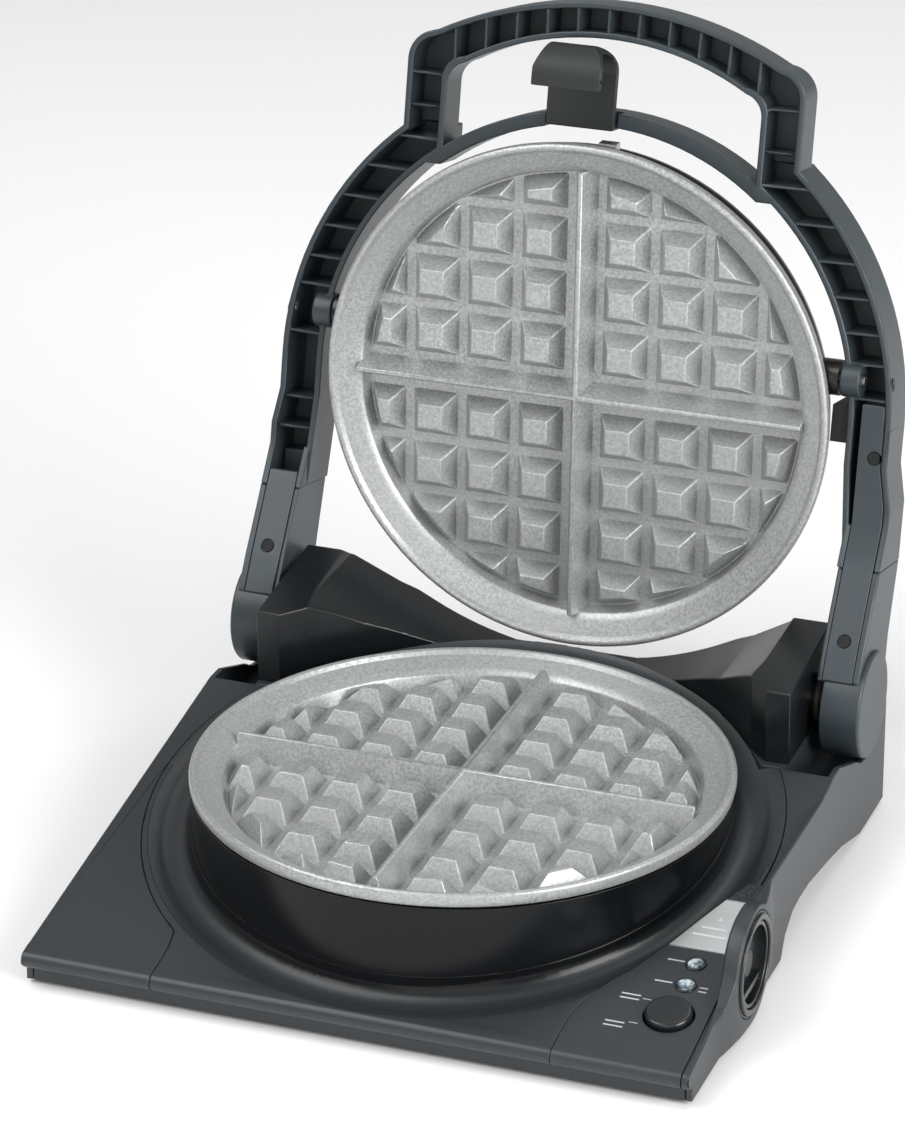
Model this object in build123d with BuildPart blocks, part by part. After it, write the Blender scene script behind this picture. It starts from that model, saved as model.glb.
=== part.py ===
from build123d import *
import math
import os

os.makedirs("parts", exist_ok=True)

# Everything is laid out from the lower plate: depth and height count from its axis and rim plane.
PLATE_Y = -29.6
RIM_Z = 55.6

SHELL = 2.5
SEAM = 0.15
SEAT = 0.05
RUN = 0.05
AIR = 0.5


def level(z):
    return Plane(origin=(0, PLATE_Y, RIM_Z + z), x_dir=(1, 0, 0), z_dir=(0, 0, 1))


def side(x):
    return Plane(origin=(x, PLATE_Y, RIM_Z), x_dir=(0, 1, 0), z_dir=(1, 0, 0))


def front(y):
    return Plane(origin=(0, PLATE_Y + y, RIM_Z), x_dir=(1, 0, 0), z_dir=(0, -1, 0))


# Base shell.
BASE_HALF = 124.65
FRONT_Y = -112.4
NOSE_Y = -117.3
REAR_Y = 128.0
DECK_REAR = 56.0
DECK_TOP = -10.6
DECK_SLOPE = 0.18
SEAM_Z = -48.5
SKIRT_Z = -54.0
FOOT_TALL = RIM_Z + SKIRT_Z
WALL_IN = BASE_HALF - SHELL


def deck_at(y):
    return DECK_TOP - DECK_SLOPE * (DECK_REAR - y)


# The rounded nose along the front edge, from the seam up to the deck.
DECK_START = NOSE_Y + 8.0
NOSE_TOP = deck_at(DECK_START)
NOSE = (
    (FRONT_Y, SEAM_Z), (FRONT_Y - 2.2, SEAM_Z + 0.6), (NOSE_Y + 0.9, SEAM_Z + 1.9),
    (NOSE_Y + 0.1, SEAM_Z + 4.9), (NOSE_Y + 2.3, NOSE_TOP - 0.95), (NOSE_Y + 5.0, NOSE_TOP - 0.37),
    (DECK_START, NOSE_TOP),
)


# Well and panel seams on the deck.
WELL_R = 118.0
WELL_REAR_R = 111.3
POT_R = 99.4
POT_WALL = 2.0
POT_TOP = -5.9
POT_FLOOR = -42.5
APRON_X = 74.7
APRON_BEND_Y = -104.0
PANEL_RIGHT = 121.7

# Hinge, arms and kinematics.
HINGE_Y = 101.0
HINGE_Z = -1.5
SWING = 99.0
HEAD_TURN = 5.86
RIM_R = 100.0
RIM_GAP = 0.6
LID_A = 18.49
LID_B = 13.36
BARREL_R = 20.5
BARREL_IN = 111.0
BARREL_OUT = 126.6
HINGE_PIN_R = 4.0
YOKE_LEAN = 12.5


def turned(y, z, deg):
    c, s = math.cos(math.radians(deg)), math.sin(math.radians(deg))
    return y * c - z * s, y * s + z * c


SHUT_Y, SHUT_Z = -LID_A, RIM_GAP + LID_B
OPEN_DY, OPEN_DZ = turned(SHUT_Y - HINGE_Y, SHUT_Z - HINGE_Z, -SWING)
TRUN_Y, TRUN_Z = HINGE_Y + OPEN_DY, HINGE_Z + OPEN_DZ
LID_DY, LID_DZ = turned(LID_A, -LID_B, HEAD_TURN - SWING)
LID_Y, LID_Z = TRUN_Y + LID_DY, TRUN_Z + LID_DZ
LID_LEAN = SWING - HEAD_TURN - 90.0

lid_plane = Plane(
    origin=(0, PLATE_Y + LID_Y, RIM_Z + LID_Z),
    x_dir=(1, 0, 0),
    z_dir=(0, -math.cos(math.radians(LID_LEAN)), math.sin(math.radians(LID_LEAN))),
)
yoke_plane = Plane(
    origin=(0, PLATE_Y + 105.9, RIM_Z - 2.6),
    x_dir=(1, 0, 0),
    z_dir=(0, -math.cos(math.radians(YOKE_LEAN)), math.sin(math.radians(YOKE_LEAN))),
)
DECK_ANGLE = math.degrees(math.atan(DECK_SLOPE))
deck_plane = Plane(
    origin=(0, PLATE_Y, RIM_Z + deck_at(0)),
    x_dir=(1, 0, 0),
    z_dir=(0, -math.sin(math.radians(DECK_ANGLE)), math.cos(math.radians(DECK_ANGLE))),
)


def yoke_side(x):
    # Section through the yoke: local x runs along the yoke, local y towards its open face.
    return Plane(origin=yoke_plane.from_local_coords(Vector(x, 0, 0)),
                 x_dir=yoke_plane.y_dir, z_dir=(1, 0, 0))


def lid_side(x):
    return Plane(origin=lid_plane.from_local_coords(Vector(x, 0, 0)),
                 x_dir=lid_plane.y_dir, z_dir=(1, 0, 0))


# Outlines that several pieces share, drawn flat in plan.
def panel_outline(grow):
    with BuildSketch(Plane.XY, mode=Mode.PRIVATE) as outline:
        with BuildLine():
            seam = APRON_X + SEAM - grow
            Polyline((seam, -130), (seam, APRON_BEND_Y))
            ThreePointArc((seam, APRON_BEND_Y), (seam + 3.4, -85), (seam + 12.4, -69))
            Spline((seam + 12.4, -69), (95.2 - grow, -52), (102.6 - grow, -34.8),
                   (107.9 - grow, -22.5), (112.6 - grow, -12.6 + grow))
            Polyline((112.6 - grow, -12.6 + grow), (PANEL_RIGHT + grow, -10.5 + grow),
                     (PANEL_RIGHT + grow, -130), (seam, -130))
        make_face()
    return outline.sketch


def apron_outline(grow):
    with BuildSketch(Plane.XY, mode=Mode.PRIVATE) as outline:
        for sign in (-1, 1):
            edge = sign * (APRON_X + grow)
            with BuildLine():
                Polyline((0, -130), (edge, -130), (edge, APRON_BEND_Y))
                ThreePointArc((edge, APRON_BEND_Y), (edge + sign * 3.4, -85), (edge + sign * 12.4, -69))
                Polyline((edge + sign * 12.4, -69), (0, -69), (0, -130))
            make_face()
    return outline.sketch


def well_outline(grow):
    with BuildSketch(Plane.XY, mode=Mode.PRIVATE) as outline:
        Circle(WELL_R + grow)
        with Locations((0, DECK_REAR + 100)):
            Rectangle(400, 200, mode=Mode.SUBTRACT)
        Circle(WELL_REAR_R + grow)
        add(apron_outline(grow))
    return outline.sketch


# Deck: the whole sloping wedge as one thin shell, later shared out between cover, apron and panel.
with BuildPart() as deck_shell:
    with BuildSketch(side(-BASE_HALF)):
        with BuildLine():
            for i in (0, 2, 4):
                ThreePointArc(*NOSE[i:i + 3])
            Polyline(
                NOSE[-1], (DECK_REAR, DECK_TOP), (REAR_Y, DECK_TOP), (REAR_Y, SKIRT_Z),
                (REAR_Y - SHELL, SKIRT_Z), (REAR_Y - SHELL, DECK_TOP - SHELL),
                (DECK_REAR, DECK_TOP - SHELL), (DECK_START, NOSE_TOP - SHELL),
                (NOSE_Y + 3.6, NOSE_TOP - SHELL - 0.55), (NOSE_Y + 2.7, SEAM_Z + 4.2),
                (NOSE_Y + 3.1, SEAM_Z + 3.0), (FRONT_Y + SHELL, SEAM_Z), NOSE[0],
            )
        make_face()
    extrude(amount=2 * BASE_HALF)

with BuildPart() as side_walls:
    with BuildSketch(side(WALL_IN)):
        with BuildLine():
            for i in (0, 2, 4):
                ThreePointArc(*NOSE[i:i + 3])
            Polyline(NOSE[-1], (DECK_REAR, DECK_TOP), (REAR_Y, DECK_TOP), (REAR_Y, SKIRT_Z),
                     (FRONT_Y, SKIRT_Z), NOSE[0])
        make_face()
    extrude(amount=SHELL)
    mirror(about=Plane.YZ)

# Finger arches under both side walls.
ARCH_FRONT = -8.0
ARCH_REAR = 96.0
ARCH_TOP = -40.0
GRIP_IN = 107.5
with BuildPart() as finger_arches:
    with BuildSketch(side(GRIP_IN + SHELL)):
        with BuildLine():
            Polyline(
                (ARCH_FRONT, SKIRT_Z - 5), (ARCH_FRONT, SKIRT_Z), (ARCH_FRONT + 5, -46),
                (ARCH_FRONT + 14, -41),
                (ARCH_FRONT + 22, ARCH_TOP), (ARCH_FRONT + 34, ARCH_TOP), (54, -44), (71, -47),
                (ARCH_REAR, SKIRT_Z), (ARCH_REAR, SKIRT_Z - 5), close=True,
            )
        make_face()
    extrude(amount=BASE_HALF - GRIP_IN)
    mirror(about=Plane.YZ)

# Rear housing: the two towers and the dip between them, hollow.
TOWER_OUT = 106.0
ARM_FLOOR = -25.0
TOWER_FRONT = 59.6
DIP_X = 60.0
DIP_Z = 1.6
TOWER_TOP_IN = 90.0
DIP_LOW = -13.0
DIP_WALL_R = 111.5


def housing(cut, foot):
    # The housing's form, drawn in by a wall thickness.
    with BuildPart(mode=Mode.PRIVATE) as form:
        with BuildSketch(side(-TOWER_OUT + cut)):
            with BuildLine():
                Polyline(
                    (TOWER_FRONT + cut, foot), (TOWER_FRONT + cut, 18.3 - cut), (112, 24.2 - cut),
                    (119 - cut / 2, 19.5 - cut), (REAR_Y - cut, 4 - cut), (REAR_Y - cut, foot), close=True,
                )
            make_face()
        extrude(amount=2 * (TOWER_OUT - cut))
        with BuildSketch(front(140)):
            with BuildLine():
                ThreePointArc((-DIP_X, DIP_Z - cut), (0, DIP_LOW - cut), (DIP_X, DIP_Z - cut))
                Polyline((DIP_X, DIP_Z - cut), (DIP_X + 12, 7.6 - cut), (TOWER_TOP_IN + cut, 20.4 - cut / 2),
                         (TOWER_TOP_IN + 2.5 + cut, 27), (TOWER_TOP_IN + 2.5 + cut, 60),
                         (-TOWER_TOP_IN - 2.5 - cut, 60), (-TOWER_TOP_IN - 2.5 - cut, 27),
                         (-TOWER_TOP_IN - cut, 20.4 - cut / 2), (-DIP_X - 12, 7.6 - cut),
                         (-DIP_X, DIP_Z - cut))
            make_face()
        extrude(amount=100, mode=Mode.SUBTRACT)
        with BuildSketch(level(-61)):
            Circle(DIP_WALL_R + cut)
            near, far = TOWER_FRONT - 2 + 0.736 * cut, TOWER_FRONT + 10.12 + 0.736 * cut
            for sign in (-1, 1):
                with BuildLine():
                    Polyline((sign * (99.17 + 0.677 * cut), near), (sign * (86 + 0.677 * cut), far),
                             (sign * 70, far), (sign * 70, near), close=True)
                make_face()
        extrude(amount=120, mode=Mode.SUBTRACT)
    return form.part


housing_skin = housing(0.0, ARM_FLOOR - 2 * SHELL)
housing_hollow = housing(SHELL, -60)

# Arm wells: the pockets outside the towers in which the barrels turn.
ARM_IN = TOWER_OUT
NOTCH_R = BARREL_R + 1.8
with BuildPart() as arm_well_tubs:
    with BuildSketch(side(ARM_IN - SHELL)):
        with BuildLine():
            Polyline((DECK_REAR - SHELL, ARM_FLOOR - SHELL), (REAR_Y, ARM_FLOOR - SHELL),
                     (REAR_Y, DECK_TOP),
                     (DECK_REAR - SHELL, DECK_TOP - 0.6), close=True)
        make_face()
    extrude(amount=BASE_HALF - ARM_IN + SHELL)
    mirror(about=Plane.YZ)
with BuildPart() as arm_wells:
    with BuildSketch(side(ARM_IN)):
        with Locations(((DECK_REAR + REAR_Y - SHELL) / 2, ARM_FLOOR + 30)):
            Rectangle(REAR_Y - SHELL - DECK_REAR, 60)
    extrude(amount=WALL_IN - ARM_IN)
    with BuildSketch(side(ARM_IN)):
        with Locations((HINGE_Y, HINGE_Z)):
            Circle(NOTCH_R)
        with BuildLine():
            Polyline((64, DECK_TOP + 1), (DECK_REAR + 8, DECK_TOP), (88, -19.5), (HINGE_Y, -19.5),
                     (HINGE_Y + NOTCH_R, DECK_TOP), (HINGE_Y + NOTCH_R, DECK_TOP + 1), close=True)
        make_face()
    extrude(amount=BASE_HALF - ARM_IN + 5)
    mirror(about=Plane.YZ)

# Dial housing set in the right wall, and the raised wall round it.
DIAL_Y = -54.6
DIAL_Z = -30.0
BOSS_R = 19.2
EAR_R = 21.5
BULGE_R = 36.0
BOSS_IN = 122.2
BOSS_OUT = 128.6
BOSS_WALL = 1.3
DIAL_BORE = 16.1
BEZEL_R = 18.2
BEZEL_DEEP = 3.2
DISC_THICK = 0.7
CUP_BACK = BOSS_IN + BOSS_WALL + DISC_THICK + 0.2
CUP_FLOOR = 1.0
STUB_R = 3.5
STUB_END = CUP_BACK + CUP_FLOOR + RUN
STUB_HOLE = 2.4
DIAL_SCREW_R = 1.2
WALL_LIP = 1.6
with BuildPart() as raised_wall:
    with BuildSketch(side(BASE_HALF - WALL_LIP)):
        with BuildLine():
            Polyline((-108, -41), (-82, -33.4), (-72, -20), (-44, -12), (-30, -13.5),
                     (40, -13.5), (40, -24), (-20, -30), (-108, -46), close=True)
        make_face()
        with Locations((DIAL_Y, DIAL_Z)):
            Circle(EAR_R)
    extrude(amount=WALL_LIP)
with BuildPart(side(BASE_HALF)) as wall_bulge:
    with Locations((DIAL_Y, DIAL_Z)):
        Cone(BULGE_R, EAR_R, BOSS_OUT - BASE_HALF, align=(Align.CENTER, Align.CENTER, Align.MIN))
    with BuildSketch(side(BASE_HALF)):
        with BuildLine():
            Polyline((-108, SKIRT_Z), (-108, -41), (-82, -33.4), (-72, -20), (-44, -12), (-30, -13.5),
                     (40, -13.5), (40, SKIRT_Z), close=True)
        make_face()
        with Locations((DIAL_Y, DIAL_Z)):
            Circle(EAR_R)
    extrude(amount=10, mode=Mode.INTERSECT)
with BuildPart() as dial_bores:
    with BuildSketch(side(BOSS_IN + BOSS_WALL)):
        with Locations((DIAL_Y, DIAL_Z)):
            Circle(DIAL_BORE)
            Circle(STUB_R, mode=Mode.SUBTRACT)
    extrude(amount=20)
    with BuildSketch(side(BOSS_OUT - BEZEL_DEEP)):
        with Locations((DIAL_Y, DIAL_Z)):
            Circle(BEZEL_R)
    extrude(amount=10)
    with BuildSketch(side(STUB_END)):
        with Locations((DIAL_Y, DIAL_Z)):
            Circle(STUB_R + 1)
    extrude(amount=20)
    with BuildSketch(side(STUB_END - STUB_HOLE)):
        with Locations((DIAL_Y, DIAL_Z)):
            Circle(DIAL_SCREW_R + SEAT)
    extrude(amount=20)
with BuildPart() as boss_clear:
    with BuildSketch(side(PANEL_RIGHT)):
        with Locations((DIAL_Y, DIAL_Z)):
            Circle(BOSS_R + SEAM)
    extrude(amount=20)
with BuildPart() as dial_housing:
    with BuildSketch(side(BOSS_IN)):
        with Locations((DIAL_Y, DIAL_Z)):
            Circle(BOSS_R)
    extrude(amount=BOSS_OUT - BOSS_IN)
    fillet(dial_housing.edges().group_by(Axis.X)[-1], 0.5)
    add(dial_bores.part, mode=Mode.SUBTRACT)
dial_housing.part.label = "dial_housing"
export_step(dial_housing.part, "parts/dial_housing.step")

# Base cover and, above the deck, the two towers that stand on it.
CORD_Z = -38.0
CORD_X = -60.0
CORD_BORE = 6.0
HINGE_HOLE = HINGE_PIN_R + SEAT
SCREW_R = 1.5
POST_HOLE = 8.0
BOLT_X = 118.6
BOLT_YS = (-102.0, 112.0)
with BuildPart() as cover_form:
    add(deck_shell.part)
    add(side_walls.part)
    add(arm_well_tubs.part)
    add(housing_skin)
    with BuildSketch(level(-70)):
        add(well_outline(SEAM))
    extrude(amount=120, mode=Mode.SUBTRACT)
    with BuildSketch(level(-70)):
        add(panel_outline(SEAM))
    extrude(amount=120, mode=Mode.SUBTRACT)
    with BuildSketch(side(-TOWER_OUT + SHELL)):
        with BuildLine():
            Polyline((DECK_REAR + 4, -60), (DECK_REAR + 4, DECK_TOP - SHELL - 0.5), (REAR_Y - SHELL, -13.5),
                     (REAR_Y - SHELL, -60), close=True)
        make_face()
    extrude(amount=2 * (TOWER_OUT - SHELL), mode=Mode.SUBTRACT)
    add(housing_hollow, mode=Mode.SUBTRACT)
    add(raised_wall.part)
    add(wall_bulge.part)
    add(arm_wells.part, mode=Mode.SUBTRACT)
    add(finger_arches.part, mode=Mode.SUBTRACT)
    add(boss_clear.part, mode=Mode.SUBTRACT)
    with BuildSketch(side(ARM_IN - 2 * SHELL)):
        with Locations((HINGE_Y, HINGE_Z)):
            Circle(HINGE_PIN_R + 5)
    extrude(amount=2 * SHELL)
    with BuildSketch(side(-ARM_IN)):
        with Locations((HINGE_Y, HINGE_Z)):
            Circle(HINGE_PIN_R + 5)
    extrude(amount=2 * SHELL)
    for start in (-ARM_IN - 1, ARM_IN - 3 * SHELL):
        with BuildSketch(side(start)):
            with Locations((HINGE_Y, HINGE_Z)):
                Circle(HINGE_HOLE)
        extrude(amount=3 * SHELL + 1, mode=Mode.SUBTRACT)
    for x in (-BOLT_X, BOLT_X):
        for y in BOLT_YS:
            top = deck_at(y) - SHELL - 0.7 if y < 0 else ARM_FLOOR - SHELL / 2
            with BuildSketch(level(SKIRT_Z + SHELL)):
                with Locations((x, y)):
                    Circle(4.0)
            extrude(amount=top - SKIRT_Z - SHELL)
            with BuildSketch(level(SKIRT_Z + SHELL)):
                with Locations((x, y)):
                    Circle(SCREW_R)
            extrude(amount=POST_HOLE, mode=Mode.SUBTRACT)
    with BuildSketch(front(REAR_Y + 1)):
        with Locations((CORD_X, CORD_Z)):
            Circle(CORD_BORE)
    extrude(amount=10, mode=Mode.SUBTRACT)
TOWER_MID = (DECK_REAR - SHELL + REAR_Y) / 2
TOWER_DEEP = REAR_Y - DECK_REAR + SHELL
for sign, name in ((1, "tower_right"), (-1, "tower_left")):
    with BuildPart() as tower:
        with BuildSketch(level(DECK_TOP)):
            with Locations((sign * BASE_HALF / 2, TOWER_MID)):
                Rectangle(BASE_HALF, TOWER_DEEP)
        extrude(amount=60)
        add(cover_form.part, mode=Mode.INTERSECT)
    tower.part.label = name
    export_step(tower.part, f"parts/{name}.step")
with BuildPart() as base_cover:
    add(cover_form.part)
    with BuildSketch(level(DECK_TOP)):
        with Locations((0, TOWER_MID)):
            Rectangle(2 * BASE_HALF, TOWER_DEEP)
    extrude(amount=60, mode=Mode.SUBTRACT)
base_cover.part.label = "base_cover"
export_step(base_cover.part, "parts/base_cover.step")

# Well shroud: the front apron, the overflow channel round the well, the well wall and its floor.
CHANNEL_R = 107.5
CHANNEL_DEEP = 2.6
FILLET_TOP = 5.0
ROLL_R = 112.5
with BuildPart() as channel_ring:
    with BuildSketch(Plane(origin=deck_plane.origin, x_dir=(1, 0, 0), z_dir=deck_plane.y_dir * -1)):
        with BuildLine():
            Polyline((POT_R - 4, FILLET_TOP), (POT_R + 0.8, FILLET_TOP))
            ThreePointArc((POT_R + 0.8, FILLET_TOP), (POT_R + 2.6, -0.6), (CHANNEL_R, -CHANNEL_DEEP))
            ThreePointArc((CHANNEL_R, -CHANNEL_DEEP), (ROLL_R - 2.3, -2.2), (ROLL_R, -1.2))
            ThreePointArc((ROLL_R, -1.2), (ROLL_R + 3.1, -0.25), (WELL_R + 1.0, 0))
            Polyline((WELL_R + 1.0, 0), (WELL_R + 1.0, -SHELL), (ROLL_R, -SHELL - 1.2),
                     (CHANNEL_R, -2 * CHANNEL_DEEP), (POT_R - 4, -2 * CHANNEL_DEEP),
                     (POT_R - 4, FILLET_TOP))
        make_face()
    revolve(axis=Axis(deck_plane.origin, deck_plane.z_dir), revolution_arc=360)
    with BuildSketch(level(-70)):
        add(well_outline(0.0))
    extrude(amount=120, mode=Mode.INTERSECT)
    with BuildSketch(side(-BASE_HALF)):
        with BuildLine():
            for i in (0, 2, 4):
                ThreePointArc(*NOSE[i:i + 3])
            Polyline(NOSE[-1], (DECK_START, 60), (REAR_Y, 60), (REAR_Y, SEAM_Z), NOSE[0])
        make_face()
    extrude(amount=2 * BASE_HALF, mode=Mode.INTERSECT)
    with BuildSketch(level(-70)):
        Circle(POT_R - POT_WALL)
    extrude(amount=120, mode=Mode.SUBTRACT)

with BuildPart() as pot_shroud:
    add(deck_shell.part)
    with BuildSketch(level(-70)):
        add(well_outline(0.0))
    extrude(amount=120, mode=Mode.INTERSECT)
    with BuildSketch(deck_plane.offset(-SHELL - 0.4)):
        Circle(WELL_R - 2.0)
    extrude(amount=60, mode=Mode.SUBTRACT)
    with BuildSketch(level(-70)):
        with Locations((0, 100)):
            Rectangle(300, 200)
    extrude(amount=120, mode=Mode.SUBTRACT)
    add(channel_ring.part)
    with BuildSketch(level(POT_FLOOR - SHELL)):
        Circle(POT_R)
    extrude(amount=SHELL)
    with BuildSketch(level(POT_FLOOR)):
        Circle(POT_R)
        Circle(POT_R - POT_WALL, mode=Mode.SUBTRACT)
    extrude(amount=POT_TOP - POT_FLOOR)
    with BuildSketch(level(POT_TOP)):
        Circle(RIM_R + 0.8)
    extrude(amount=20, mode=Mode.SUBTRACT)
    with BuildSketch(level(-70)):
        add(panel_outline(SEAM))
    extrude(amount=120, mode=Mode.SUBTRACT)
    for angle in (45, 135, 225, 315):
        with BuildSketch(level(SKIRT_Z + SHELL)):
            with Locations(Location((0, 0, 0), (0, 0, angle))):
                with Locations((78, 0)):
                    Circle(4.5)
        extrude(amount=POT_FLOOR - SHELL - SKIRT_Z - SHELL)
        with BuildSketch(level(SKIRT_Z + SHELL)):
            with Locations(Location((0, 0, 0), (0, 0, angle))):
                with Locations((78, 0)):
                    Circle(SCREW_R)
        extrude(amount=min(POST_HOLE, POT_FLOOR - SHELL - SKIRT_Z - SHELL), mode=Mode.SUBTRACT)
    with BuildSketch(level(POT_FLOOR - SHELL)):
        with PolarLocations(60, 3, start_angle=90):
            Circle(SCREW_R + 0.2)
    extrude(amount=SHELL, mode=Mode.SUBTRACT)
pot_shroud.part.label = "pot_shroud"
export_step(pot_shroud.part, "parts/pot_shroud.step")

# Control panel insert on the right of the deck.
LAMPS = ((108.6, -59.1), (108.8, -71.1))
LENS_R = 2.9
ROCKER_X, ROCKER_Y = 108.0, -87.7
ROCKER_R = 8.6
with BuildPart() as control_panel:
    add(deck_shell.part)
    with BuildSketch(level(-70)):
        add(panel_outline(0.0))
    extrude(amount=120, mode=Mode.INTERSECT)
    with BuildSketch(level(-70)):
        with Locations(*LAMPS):
            Circle(LENS_R + SEAT)
        with Locations((ROCKER_X, ROCKER_Y)):
            Circle(ROCKER_R + 0.5)
    extrude(amount=60, mode=Mode.SUBTRACT)
control_panel.part.label = "control_panel"
export_step(control_panel.part, "parts/control_panel.step")

# Label plate: a thin metal sheet laid on the panel.
LABEL_THICK = 0.5
LABEL_RIGHT = PANEL_RIGHT - 0.3
with BuildPart() as label_plate:
    with BuildSketch(deck_plane.offset(0)):
        with BuildLine():
            Polyline((96.4, -52.6), (103.4, -35.2), (108.6, -22.7), (113.2, -12.8), (LABEL_RIGHT, -12.0),
                     (LABEL_RIGHT, -52.6), close=True)
        make_face()
    extrude(amount=LABEL_THICK)
label_plate.part.label = "label_plate"
export_step(label_plate.part, "parts/label_plate.step")

# Two lamp lenses in the panel.
with BuildPart() as lamp_lenses:
    for x, y in LAMPS:
        with BuildSketch(level(deck_at(y) - 7.0)):
            with Locations((x, y)):
                Circle(LENS_R)
        extrude(amount=8.0)
    fillet(lamp_lenses.edges().group_by(Axis.Z)[-1], 0.9)
lamp_lenses.part.label = "lamp_lenses"
export_step(lamp_lenses.part, "parts/lamp_lenses.step")

# Circuit board under the panel, level, on the pan's posts.
BOARD_Z = -47.0
BOARD_THICK = 1.6
with BuildPart() as circuit_board:
    with BuildSketch(level(BOARD_Z)):
        with Locations((105.0, -72.0)):
            Rectangle(24, 50)
    extrude(amount=BOARD_THICK)
    for x, y in LAMPS:
        with BuildSketch(level(BOARD_Z + BOARD_THICK)):
            with Locations((x, y)):
                Rectangle(5, 5)
        extrude(amount=deck_at(y) - 7.0 - BOARD_Z - BOARD_THICK)
circuit_board.part.label = "circuit_board"
export_step(circuit_board.part, "parts/circuit_board.step")

# Texture rocker: a round button that tips about an axle across the panel, in its carrier.
ROCKER_Z = deck_at(ROCKER_Y)
rocker_plane = Plane(
    origin=(ROCKER_X, PLATE_Y + ROCKER_Y, RIM_Z + ROCKER_Z), x_dir=(1, 0, 0), z_dir=deck_plane.z_dir)
AXLE_DEEP = 4.8
AXLE_R = 1.2
axle_plane = Plane(
    origin=rocker_plane.from_local_coords(Vector(0, 0, -AXLE_DEEP)), x_dir=rocker_plane.y_dir,
    z_dir=(1, 0, 0))
with BuildPart() as texture_rocker:
    with BuildSketch(rocker_plane.offset(-2.6)):
        Circle(ROCKER_R - 0.2)
    extrude(amount=5.0)
    fillet(texture_rocker.edges().sort_by(Axis(rocker_plane.origin, rocker_plane.z_dir))[-1:], 1.2)
    with BuildSketch(axle_plane.offset(-3.0)):
        with Locations((0, 0.8)):
            Rectangle(4.4, 4.4)
    extrude(amount=6.0)
    with BuildSketch(axle_plane.offset(-6.0)):
        Circle(AXLE_R)
    extrude(amount=12.0)
texture_rocker.part.label = "texture_rocker"
export_step(texture_rocker.part, "parts/texture_rocker.step")
with BuildPart() as rocker_carrier:
    for x in (-5.8, 3.8):
        with BuildSketch(axle_plane.offset(x)):
            with Locations((0, -0.95)):
                Rectangle(5.0, 5.3)
            Circle(AXLE_R + RUN, mode=Mode.SUBTRACT)
        extrude(amount=2.0)
    with BuildSketch(level(BOARD_Z + BOARD_THICK)):
        with Locations((ROCKER_X, ROCKER_Y)):
            Rectangle(15, 12)
    extrude(amount=1.6)
rocker_carrier.part.label = "rocker_carrier"
export_step(rocker_carrier.part, "parts/rocker_carrier.step")

# Colour dial: bezel ring, contact disc, the cup with its grip bar, and the screw on its stub.
with BuildPart() as dial_bezel:
    with BuildSketch(side(BOSS_OUT - BEZEL_DEEP)):
        with Locations((DIAL_Y, DIAL_Z)):
            Circle(BEZEL_R - SEAT)
            Circle(DIAL_BORE - 0.2, mode=Mode.SUBTRACT)
    extrude(amount=BEZEL_DEEP + 1.0)
    fillet(dial_bezel.edges().group_by(Axis.X)[-1], 0.7)
dial_bezel.part.label = "dial_bezel"
export_step(dial_bezel.part, "parts/dial_bezel.step")
with BuildPart() as dial_contact_disc:
    with BuildSketch(side(BOSS_IN + BOSS_WALL)):
        with Locations((DIAL_Y, DIAL_Z)):
            Circle(DIAL_BORE - SEAT)
            Circle(STUB_R + SEAT, mode=Mode.SUBTRACT)
    extrude(amount=DISC_THICK)
dial_contact_disc.part.label = "dial_contact_disc"
export_step(dial_contact_disc.part, "parts/dial_contact_disc.step")
CUP_R = DIAL_BORE - 0.2 - 0.3
with BuildPart() as colour_dial:
    with BuildSketch(side(CUP_BACK)):
        with Locations((DIAL_Y, DIAL_Z)):
            Circle(CUP_R)
    extrude(amount=BOSS_OUT + 0.2 - CUP_BACK)
    with BuildSketch(side(CUP_BACK + CUP_FLOOR)):
        with Locations((DIAL_Y, DIAL_Z)):
            Circle(CUP_R - 1.6)
    extrude(amount=20, mode=Mode.SUBTRACT)
    with BuildSketch(side(CUP_BACK)):
        with Locations((DIAL_Y, DIAL_Z - 9.4)):
            Rectangle(22.5, 2.6)
    extrude(amount=BOSS_OUT - 1.0 - CUP_BACK)
    with BuildSketch(side(CUP_BACK - 0.01)):
        with Locations((DIAL_Y, DIAL_Z)):
            Circle(STUB_R + RUN)
    extrude(amount=CUP_FLOOR + 0.5, mode=Mode.SUBTRACT)
colour_dial.part.label = "colour_dial"
export_step(colour_dial.part, "parts/colour_dial.step")
with BuildPart() as dial_screw:
    with BuildSketch(side(STUB_END)):
        with Locations((DIAL_Y, DIAL_Z)):
            Circle(STUB_R + 1.1)
    extrude(amount=0.9)
    with BuildSketch(side(STUB_END - STUB_HOLE + 0.3)):
        with Locations((DIAL_Y, DIAL_Z)):
            Circle(DIAL_SCREW_R)
    extrude(amount=STUB_HOLE - 0.3)
dial_screw.part.label = "dial_screw"
export_step(dial_screw.part, "parts/dial_screw.step")

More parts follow.
